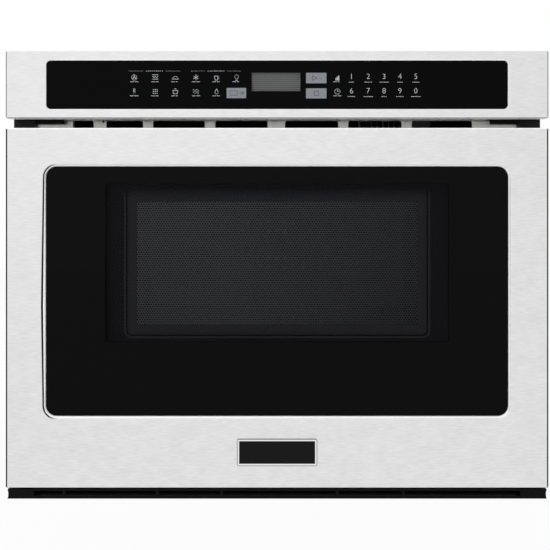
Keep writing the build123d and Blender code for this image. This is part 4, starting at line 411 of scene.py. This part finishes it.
FINISHES = {  # by material slot
    "stainless": brushed("brushed_stainless", STEEL, STEEL_ROUGHNESS),
    "clear_glass": clear_glass(),
    "glass_ceramic": grained("dark_glass_ceramic", linear("1a1b1d"), 0.08, depth=0.002),
    "black_plastic": grained("black_moulded_plastic", linear("0a0a0b"), 0.5, Specular_IOR_Level=0.07),
    "white_plastic": grained("natural_acetal", linear("dcdad2"), 0.38, contrast=0.05),
    "grey_plastic": grained("grey_moulded_plastic", linear("55575a"), 0.5),
    "screen_enamel": screen_enamel(),
    "black_enamel": grained("black_powder_coat", linear("0f0f10"), 0.45, scale=500.0,
                            Specular_IOR_Level=0.2),
    "grey_enamel": grained("speckled_oven_enamel", linear("5a5c5e"), 0.22, scale=900.0, contrast=0.2),
    "badge_chrome": badge_metal(),
    "rubber": grained("black_rubber", linear("161616"), 0.7),
    "zinc_screws": grained("zinc_plated_screws", linear("c8c8c2"), 0.3, 1.0),
    "zinc_steel": brushed("drawn_zinc_steel", linear("bfc2c4"), 0.3),
    "bright_steel": grained("bright_ball_steel", linear("cfd0d2"), 0.18, 1.0, depth=0.002),
    "galvanised": galvanised("galvanised_sheet", linear("c3c2bb"), 0.42),
    "aluminised": galvanised("aluminised_sheet", linear("a2a29e"), 0.5),
    "aluminium_sheet": brushed("mill_aluminium", linear("d2d3d4"), 0.35),
    "heater_sheath": grained("oxidised_heater_sheath", linear("4c4842"), 0.45, 0.8, contrast=0.3),
    "lamp_steel": grained("plated_lamp_steel", linear("bdbdb8"), 0.3, 0.8),
    "motor_steel": grained("painted_motor_steel", linear("3a3b3d"), 0.4),
    "mica": grained("pressed_mica", linear("9c8d6c"), 0.5, contrast=0.3, scale=300.0),
    "transformer": copper_windings(),
    "board_green": circuit_board(),
}
OWN_FINISH = {  # by node, in place of its slot's finish
    "door_glass": printed_glass("printed_window_glass", linear("040405"), 0.07, CLEAR, 0.42),
    "touch_glass": printed_glass("printed_touch_glass", linear("050506"), 0.035,
                                 display_rectangle(0.0, 0.6), 0.35),
    "display_board": unlit_display(),
    "door_frame": front_steel("brushed_door_front", DOOR_EDGE, DOOR_WINDOW, 2.0, 1.0, True),
    "panel_trim": front_steel("brushed_panel_front", PANEL_EDGE, PANEL_WINDOW, 0.8, 0.5, False),
    "choke_frame": grained("dark_grey_choke_enamel", linear("2e2e32"), 0.5, scale=500.0,
                           Specular_IOR_Level=0.07),
    # The waveguide is made near black, painted shade for the dark seen behind the vent slots.
    "waveguide": grained("waveguide_painted_shade", linear("1c1c1c"), 0.6, scale=400.0),
    "vent_plate": galvanised("galvanised_vent_plate", linear("dededa"), 0.35, 0.45),
}
INK = grained("pale_grey_print", linear("bcbec0"), 0.5, depth=0.001, contrast=0.04)
KEY_INK = grained("mid_grey_print", linear("70747a"), 0.45, depth=0.001, contrast=0.04)
DARK_INK = grained("dark_print", linear("18191b"), 0.5, depth=0.001, contrast=0.04)

for row in frame["record"]["subparts"]:
    node = frame["nodes"][row["node"]]
    finish = OWN_FINISH.get(row["node"]) or FINISHES[row["material_slot"]]
    for slot in node.material_slots:
        slot.material = finish
    if not node.material_slots:
        node.data.materials.append(finish)


# --- New pieces -------------------------------------------------------------------------------------
def mesh_piece(name, points, faces, finish):
    """A mesh object at the origin from points in millimetres."""
    data = bpy.data.meshes.new(name)
    data.from_pydata((np.asarray(points, dtype=float) * MM).tolist(), [], [list(f) for f in faces])
    data.materials.append(finish)
    piece = bpy.data.objects.new(name, data)
    bpy.context.scene.collection.objects.link(piece)
    return piece


def perforated_screen():
    """Screen plate with staggered hexagonal holes.

    The field is cut into cells of one pitch by 0.866 of a pitch, every other row shifted by half a
    pitch. A cell is six quads between its outline and its hole, and six quads down the hole's wall.
    The half cells at the ends of the shifted rows and the border round the field are plain strips.
    """
    half_w, z0, z1 = MESH
    row_h = MESH_PITCH * math.sqrt(3) / 2
    cols = int(2 * half_w // MESH_PITCH)
    rows = int((z1 - z0) // row_h)
    left = -cols * MESH_PITCH / 2
    base = (z0 + z1) / 2 - rows * row_h / 2
    half = MESH_PITCH / 2
    rise = row_h / 2
    outline = np.array([(half, -rise), (half, rise), (0, rise), (-half, rise), (-half, -rise), (0, -rise)])
    turns = np.radians([-30, 30, 90, 150, 210, 270])
    hole = MESH_HOLE * np.stack([np.cos(turns), np.sin(turns)], axis=1)
    flat = np.concatenate([outline, hole, hole])
    depth = np.concatenate([np.full(12, SCREEN_Y[0]), np.full(6, SCREEN_Y[1])])
    col, row = np.meshgrid(np.arange(cols), np.arange(rows))
    keep = ~((row % 2 == 1) & (col == cols - 1))
    col, row = col[keep], row[keep]
    x = left + (col + 0.5 + 0.5 * (row % 2)) * MESH_PITCH
    z = base + (row + 0.5) * row_h
    points = np.empty((len(x), 18, 3))
    points[:, :, 0] = x[:, None] + flat[None, :, 0]
    points[:, :, 1] = depth
    points[:, :, 2] = z[:, None] + flat[None, :, 1]
    order = np.arange(6)
    after = (order + 1) % 6
    front = np.stack([order, order + 6, after + 6, after], axis=1)
    wall = np.stack([order + 6, order + 12, after + 12, after + 6], axis=1)
    cell = np.concatenate([front, wall])
    faces = (np.arange(len(x))[:, None, None] * 18 + cell[None]).reshape(-1, 4)
    points = points.reshape(-1, 3).tolist()
    faces = faces.tolist()

    def plain(x0, x1, low, high):
        """One plain strip of the screen's front and back."""
        for y in SCREEN_Y:
            start = len(points)
            points.extend([(x0, y, low), (x1, y, low), (x1, y, high), (x0, y, high)])
            faces.append([start, start + 1, start + 2, start + 3])

    right = -left
    top = base + rows * row_h
    plate_w, plate_z0, plate_z1 = SCREEN_PLATE
    plain(-plate_w, left, plate_z0, plate_z1)
    plain(right, plate_w, plate_z0, plate_z1)
    plain(left, right, plate_z0, base)
    plain(left, right, top, plate_z1)
    for i in range(1, rows, 2):
        low = base + i * row_h
        plain(left, left + half, low, low + row_h)
        plain(right - half, right, low, low + row_h)
    return mesh_piece("perforated_screen", points, faces, FINISHES["screen_enamel"])


def strokes(name, lines, finish):
    """Flat print on the touch glass: each line is (width, points) with points (x, z) in millimetres.

    Every segment is a rectangle of the line's width, drawn half a width past both its ends.
    """
    points, faces = [], []
    for width, line in lines:
        run = np.asarray(line, dtype=float)
        for start, end in zip(run[:-1], run[1:]):
            way = (end - start) / np.linalg.norm(end - start)
            side = np.array([-way[1], way[0]]) * width / 2
            way = way * width / 2
            corners = [start - way - side, end + way - side, end + way + side, start - way + side]
            base = len(points)
            points.extend([(c[0], TOUCH_Y - INK_LIFT, c[1]) for c in corners])
            faces.append([base, base + 1, base + 2, base + 3])
    return mesh_piece(name, points, faces, finish)


def ring(x, z, r, start=0.0, sweep=360.0, steps=20):
    """Points on an arc, degrees anticlockwise from +X."""
    turns = np.radians(np.linspace(start, start + sweep, steps))
    return [(x + r * math.cos(t), z + r * math.sin(t)) for t in turns]


def level(x, z, half):
    """Ends of a short level stroke."""
    return [(x - half, z), (x + half, z)]


def placed(lines, x, z, scale=1.0, width=1.0):
    """Lines moved to x, z, with their points multiplied by scale and their widths by width."""
    return [(w * width, [(x + px * scale, z + pz * scale) for px, pz in run]) for w, run in lines]


BOWL = ring(0, -0.3, 0.6, -210, 240, 13)
SYMBOLS = {  # from -1 to 1, with widths in strokes
    "clock": [(1, ring(0, 0, 1)), (1, [(0, 0.6), (0, 0), (0.5, 0)])],
    "waves": [(1, [(t, k * 0.6 + 0.22 * math.sin(t * math.pi * 1.5)) for t in np.linspace(-1, 1, 13)])
              for k in (-1, 0, 1)],
    "fan": [(1, ring(0, 0, 1))] + [(2.2, [(0, 0), (0.6 * math.cos(a), 0.6 * math.sin(a))])
                                   for a in np.radians([90, 210, 330])],
    "frost": [(1, [(-math.cos(a), -math.sin(a)), (math.cos(a), math.sin(a))])
              for a in np.radians([30, 90, 150])],
    "heat": [(1, [(-1, 1), (1, 1)]), (1, [(-1, 0.4), (-0.5, 0), (0, 0.4), (0.5, 0), (1, 0.4)]),
             (1, [(-1, -0.6), (1, -0.6)])],
    "probe": [(1, [(-0.25, 1), (-0.25, -0.4)]), (1, [(0.25, 1), (0.25, -0.4)]),
              (1, ring(0, -0.65, 0.4, 125, 290))],
    "bars": [(2, [(-0.5, -1), (-0.5, -0.3)]), (2, [(0, -1), (0, 0.15)]), (2, [(0.5, -1), (0.5, 0.6)])],
    "cup": [(1, [(-0.8, 0.5), (-0.55, -1), (0.35, -1), (0.6, 0.5), (-0.8, 0.5)]),
            (1, ring(0.6, -0.1, 0.4, -70, 150, 9))],
    "plate": [(1, [(-1.2, -0.6), (1.2, -0.6)]), (1, ring(0, -0.6, 1, 0, 180, 13))],
    "pot": [(1, [(-1, 0.4), (1, 0.4)]), (1, [(-0.8, 0.4), (-0.8, -0.8), (0.8, -0.8), (0.8, 0.4)]),
            (1, [(-0.3, 1), (0.3, 1)])],
    "grid": [(1.8, level(x, z, 0.1 / 3)) for x in (-0.7, 0, 0.7) for z in (-0.7, 0, 0.7)],
    "lamp": [(1, ring(0, 0.25, 0.7)), (1.6, [(-0.3, -1), (0.3, -1)])],
    "drop": [(1, BOWL + [(0, 1), BOWL[0]])],
}
LEGENDS = ["fan", "heat", "plate", "frost", "cup", "lamp", "probe", "grid", "pot", "waves", "drop"]
KEY_SYMBOLS = {  # millimetres from the key's middle: an opening drawer, a start triangle, a stop square
    "open": [(0.5, [(-7, -2.4), (-7, 2.4), (1, 2.4), (1, -2.4), (-7, -2.4)]), (0.5, [(3, 0), (8, 0)]),
             (0.5, [(6, 1.8), (8, 0), (6, -1.8)])],
    "start": [(0.5, [(-4.4, -2.8), (0.6, 0), (-4.4, 2.8), (-4.4, -2.8)]), (1.0, level(5.5, 0, 0.1))],
    "stop": [(0.5, [(-2.3, -2.3), (2.3, -2.3), (2.3, 2.3), (-2.3, 2.3), (-2.3, -2.3)])],
}


def panel_print():
    """Symbols over dashes, rules and dots over their two groups, and dots under the numerals."""
    spots = [(x, z) for z in LEGEND_Z for x in LEGEND_X][:len(LEGENDS)]
    side = [(SIDE_X, z) for z in LEGEND_Z]
    lines = []
    for kind, (x, z) in zip(LEGENDS, spots):
        lines += placed(SYMBOLS[kind], x, z, LEGEND_H / 2, LEGEND_LINE)
    for x0, x1 in HEADERS:
        middle = (x0 + x1) / 2
        lines += [(HEADER_RULE, [(x0, HEADER_Z), (middle - HEADER_GAP, HEADER_Z)]),
                  (HEADER_RULE, [(middle + HEADER_GAP, HEADER_Z), (x1, HEADER_Z)])]
        lines += [(DOT, level(middle + k * HEADER_PITCH, HEADER_Z, 0.2))
                  for k in range(-HEADER_DOTS, HEADER_DOTS + 1)]
    for i, (x, z) in enumerate(spots + side):
        inner, outer = DASH_ENDS
        z -= DASH_DROP
        lines += [(LEGEND_LINE, [(x - outer, z), (x - inner, z)]),
                  (LEGEND_LINE, [(x + inner, z), (x + outer - i % 3, z)])]
    for kind, (x, z) in zip(("bars", "clock"), side):
        lines += placed(SYMBOLS[kind], x, z, LEGEND_H / 2, LEGEND_LINE)
    for row, z in enumerate(DIGIT_Z):
        for col, x in enumerate(DIGIT_X):
            dots = 2 + (col + row) % 3
            lines += [(DOT, level(x + k * DIGIT_PITCH, z - DIGIT_DROP, 0.1))
                      for k in range(-dots, dots + 1)]
    return strokes("panel_symbols", lines, INK)


def key_faces():
    """Printed key fields with rounded corners, one polygon each."""
    points, faces = [], []
    for x0, x1, z0, z1 in KEYS.values():
        left, right, low, high = x0 + KEY_CORNER, x1 - KEY_CORNER, z0 + KEY_CORNER, z1 - KEY_CORNER
        edge = []
        for x, z, start in ((right, high, 0), (left, high, 90), (left, low, 180), (right, low, 270)):
            edge += ring(x, z, KEY_CORNER, start, 90, 5)
        base = len(points)
        points += [(x, TOUCH_Y - INK_LIFT / 2, z) for x, z in edge]
        faces.append(list(range(base, base + len(edge)))[::-1])
    return mesh_piece("key_fields", points, faces, KEY_INK)


def key_symbols():
    """Dark symbols on the keys."""
    lines = []
    for key, (x0, x1, z0, z1) in KEYS.items():
        lines += placed(KEY_SYMBOLS[key], (x0 + x1) / 2, (z0 + z1) / 2)
    return strokes("key_symbols", lines, DARK_INK)


def number_print():
    """Plain numerals 1 to 5 and 6 to 0 in two rows, turned into one flat mesh."""
    points, faces = [], []
    for i, (x, z) in enumerate([(x, z) for z in DIGIT_Z for x in DIGIT_X]):
        curve = bpy.data.curves.new("numeral", "FONT")
        curve.body = str((i + 1) % 10)
        curve.size = 1.0
        curve.resolution_u = 4
        curve.offset = DIGIT_THINNING
        holder = bpy.data.objects.new("numeral", curve)
        flat = bpy.data.meshes.new_from_object(holder)
        shape = np.array([v.co[:2] for v in flat.vertices])
        low, high = shape.min(axis=0), shape.max(axis=0)
        shape = (shape - (low + high) / 2) * DIGIT_H / (high[1] - low[1])
        base = len(points)
        points += [(x + px, TOUCH_Y - INK_LIFT, z + pz) for px, pz in shape]
        faces += [[base + corner for corner in f.vertices] for f in flat.polygons]
        bpy.data.objects.remove(holder)
        bpy.data.meshes.remove(flat)
    return mesh_piece("panel_numerals", points, faces, INK)


screen = perforated_screen()
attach(screen, "drawer")
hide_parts("door_screen")
for piece in (panel_print(), key_faces(), key_symbols(), number_print()):
    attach(piece, "chassis")


# --- Stage ------------------------------------------------------------------------------------------
AMBIENT = 0.6  # world's light on matt surfaces
WORLD_GLOSS = (1.1, 0.93)  # world in a reflection, on the left and on the right
WORLD_SIDES = 0.15  # share of that which is left far to both sides
FLOOR_GLOW = 0.92  # share of the floor that the camera sees as plain white
FLOOR_GLOSS = 0.9  # how bright the floor is in a reflection
FLOOR_HALF, FLOOR_Z = 6.0, -0.0005
LAMPS = [("key", (-0.9, -2.2, 1.7), (0, -0.3, 0.25), (1.8, 1.2), 20.0),
         ("front", (-0.6, -2.6, 0.37), (0, -0.3, 0.42), (1.6, 0.16), 22.0),
         ("rear", (0.6, 1.8, 1.8), (0, 0, 0.3), (1.6, 1.2), 18.0)]
WHITE = (1, 1, 1, 1)
CAMERA = (-0.0021, FACE_Y * MM - 1.0, 0.2988)  # level, one metre in front of the stainless fronts
FOCAL_LENGTH = 58.69
SHIFT = (-0.0004, -0.080)


def area_lamp(name, place, target, size, power):
    """A soft rectangular lamp at place, aimed at target; gloss shows the world and not the lamp."""
    data = bpy.data.lights.new(name, "AREA")
    data.shape = "RECTANGLE"
    data.size, data.size_y = size
    data.energy = power
    lamp = bpy.data.objects.new(name, data)
    lamp.location = place
    way = np.array(target) - np.array(place)
    flat = math.hypot(way[0], way[1])
    lamp.rotation_euler = (math.atan2(flat, -way[2]), 0.0, math.atan2(-way[0], way[1]))
    lamp.visible_glossy = False
    bpy.context.scene.collection.objects.link(lamp)


def seen_plain(tree, rays):
    """1 for rays from the camera, also through glass."""
    return math_node(tree, "MAXIMUM", rays["Is Camera Ray"], rays["Is Transmission Ray"])


def white_world():
    """White behind the object, white but darker to both sides in its gloss, softer on matt surfaces."""
    world = bpy.data.worlds.new("studio")
    world.use_nodes = True
    tree = world.node_tree
    tree.nodes.clear()
    rays = add(tree, "ShaderNodeLightPath").outputs
    glossy = rays["Is Glossy Ray"]
    across = axes(tree, add(tree, "ShaderNodeTexCoord").outputs["Generated"])["X"]
    gloss = math_node(tree, "MULTIPLY", spread(tree, across, *WORLD_GLOSS, -0.3, 0.3),
                      spread(tree, math_node(tree, "ABSOLUTE", across), 1.0, WORLD_SIDES, 0.35, 0.95))
    matt = math_node(tree, "MULTIPLY", math_node(tree, "SUBTRACT", 1.0, glossy), AMBIENT)
    strength = math_node(tree, "ADD", math_node(tree, "MULTIPLY", glossy, gloss), matt)
    light = add(tree, "ShaderNodeBackground", {"Color": WHITE, "Strength": strength})
    white = add(tree, "ShaderNodeBackground", {"Color": WHITE, "Strength": 1.0})
    shown = seen_plain(tree, rays)
    mixed = add(tree, "ShaderNodeMixShader", {0: shown, 1: light.outputs[0], 2: white.outputs[0]})
    add(tree, "ShaderNodeOutputWorld", {"Surface": mixed.outputs[0]})
    bpy.context.scene.world = world


def pale_floor():
    """A pale floor that is nearly white to the camera and keeps a soft shadow."""
    data = bpy.data.meshes.new("floor")
    corners = [(x * FLOOR_HALF, y * FLOOR_HALF, FLOOR_Z) for x, y in ((-1, -1), (1, -1), (1, 1), (-1, 1))]
    data.from_pydata(corners, [], [(0, 1, 2, 3)])
    made = bpy.data.materials.new("pale_floor")
    made.use_nodes = True
    tree = made.node_tree
    tree.nodes.clear()
    matte = add(tree, "ShaderNodeBsdfDiffuse", {"Color": (0.9, 0.9, 0.9, 1)})
    rays = add(tree, "ShaderNodeLightPath").outputs
    glossy = rays["Is Glossy Ray"]
    strength = spread(tree, glossy, 1.0, FLOOR_GLOSS, 0.0, 1.0)
    glow = add(tree, "ShaderNodeEmission", {"Color": WHITE, "Strength": strength})
    share = math_node(tree, "MULTIPLY", seen_plain(tree, rays), FLOOR_GLOW)
    share = math_node(tree, "MAXIMUM", share, glossy)
    mixed = add(tree, "ShaderNodeMixShader", {0: share, 1: matte.outputs[0], 2: glow.outputs[0]})
    add(tree, "ShaderNodeOutputMaterial", {"Surface": mixed.outputs[0]})
    data.materials.append(made)
    floor = bpy.data.objects.new("floor", data)
    bpy.context.scene.collection.objects.link(floor)


white_world()
pale_floor()
for lamp_row in LAMPS:
    area_lamp(*lamp_row)

lens = bpy.data.cameras.new("camera")
lens.sensor_width = 36.0
lens.lens = FOCAL_LENGTH
lens.shift_x, lens.shift_y = SHIFT
lens.clip_start = 0.01
camera = bpy.data.objects.new("camera", lens)
camera.location = CAMERA
camera.rotation_euler = (math.pi / 2, 0.0, 0.0)
bpy.context.scene.collection.objects.link(camera)
bpy.context.scene.camera = camera
bpy.context.scene.view_settings.view_transform = "Standard"
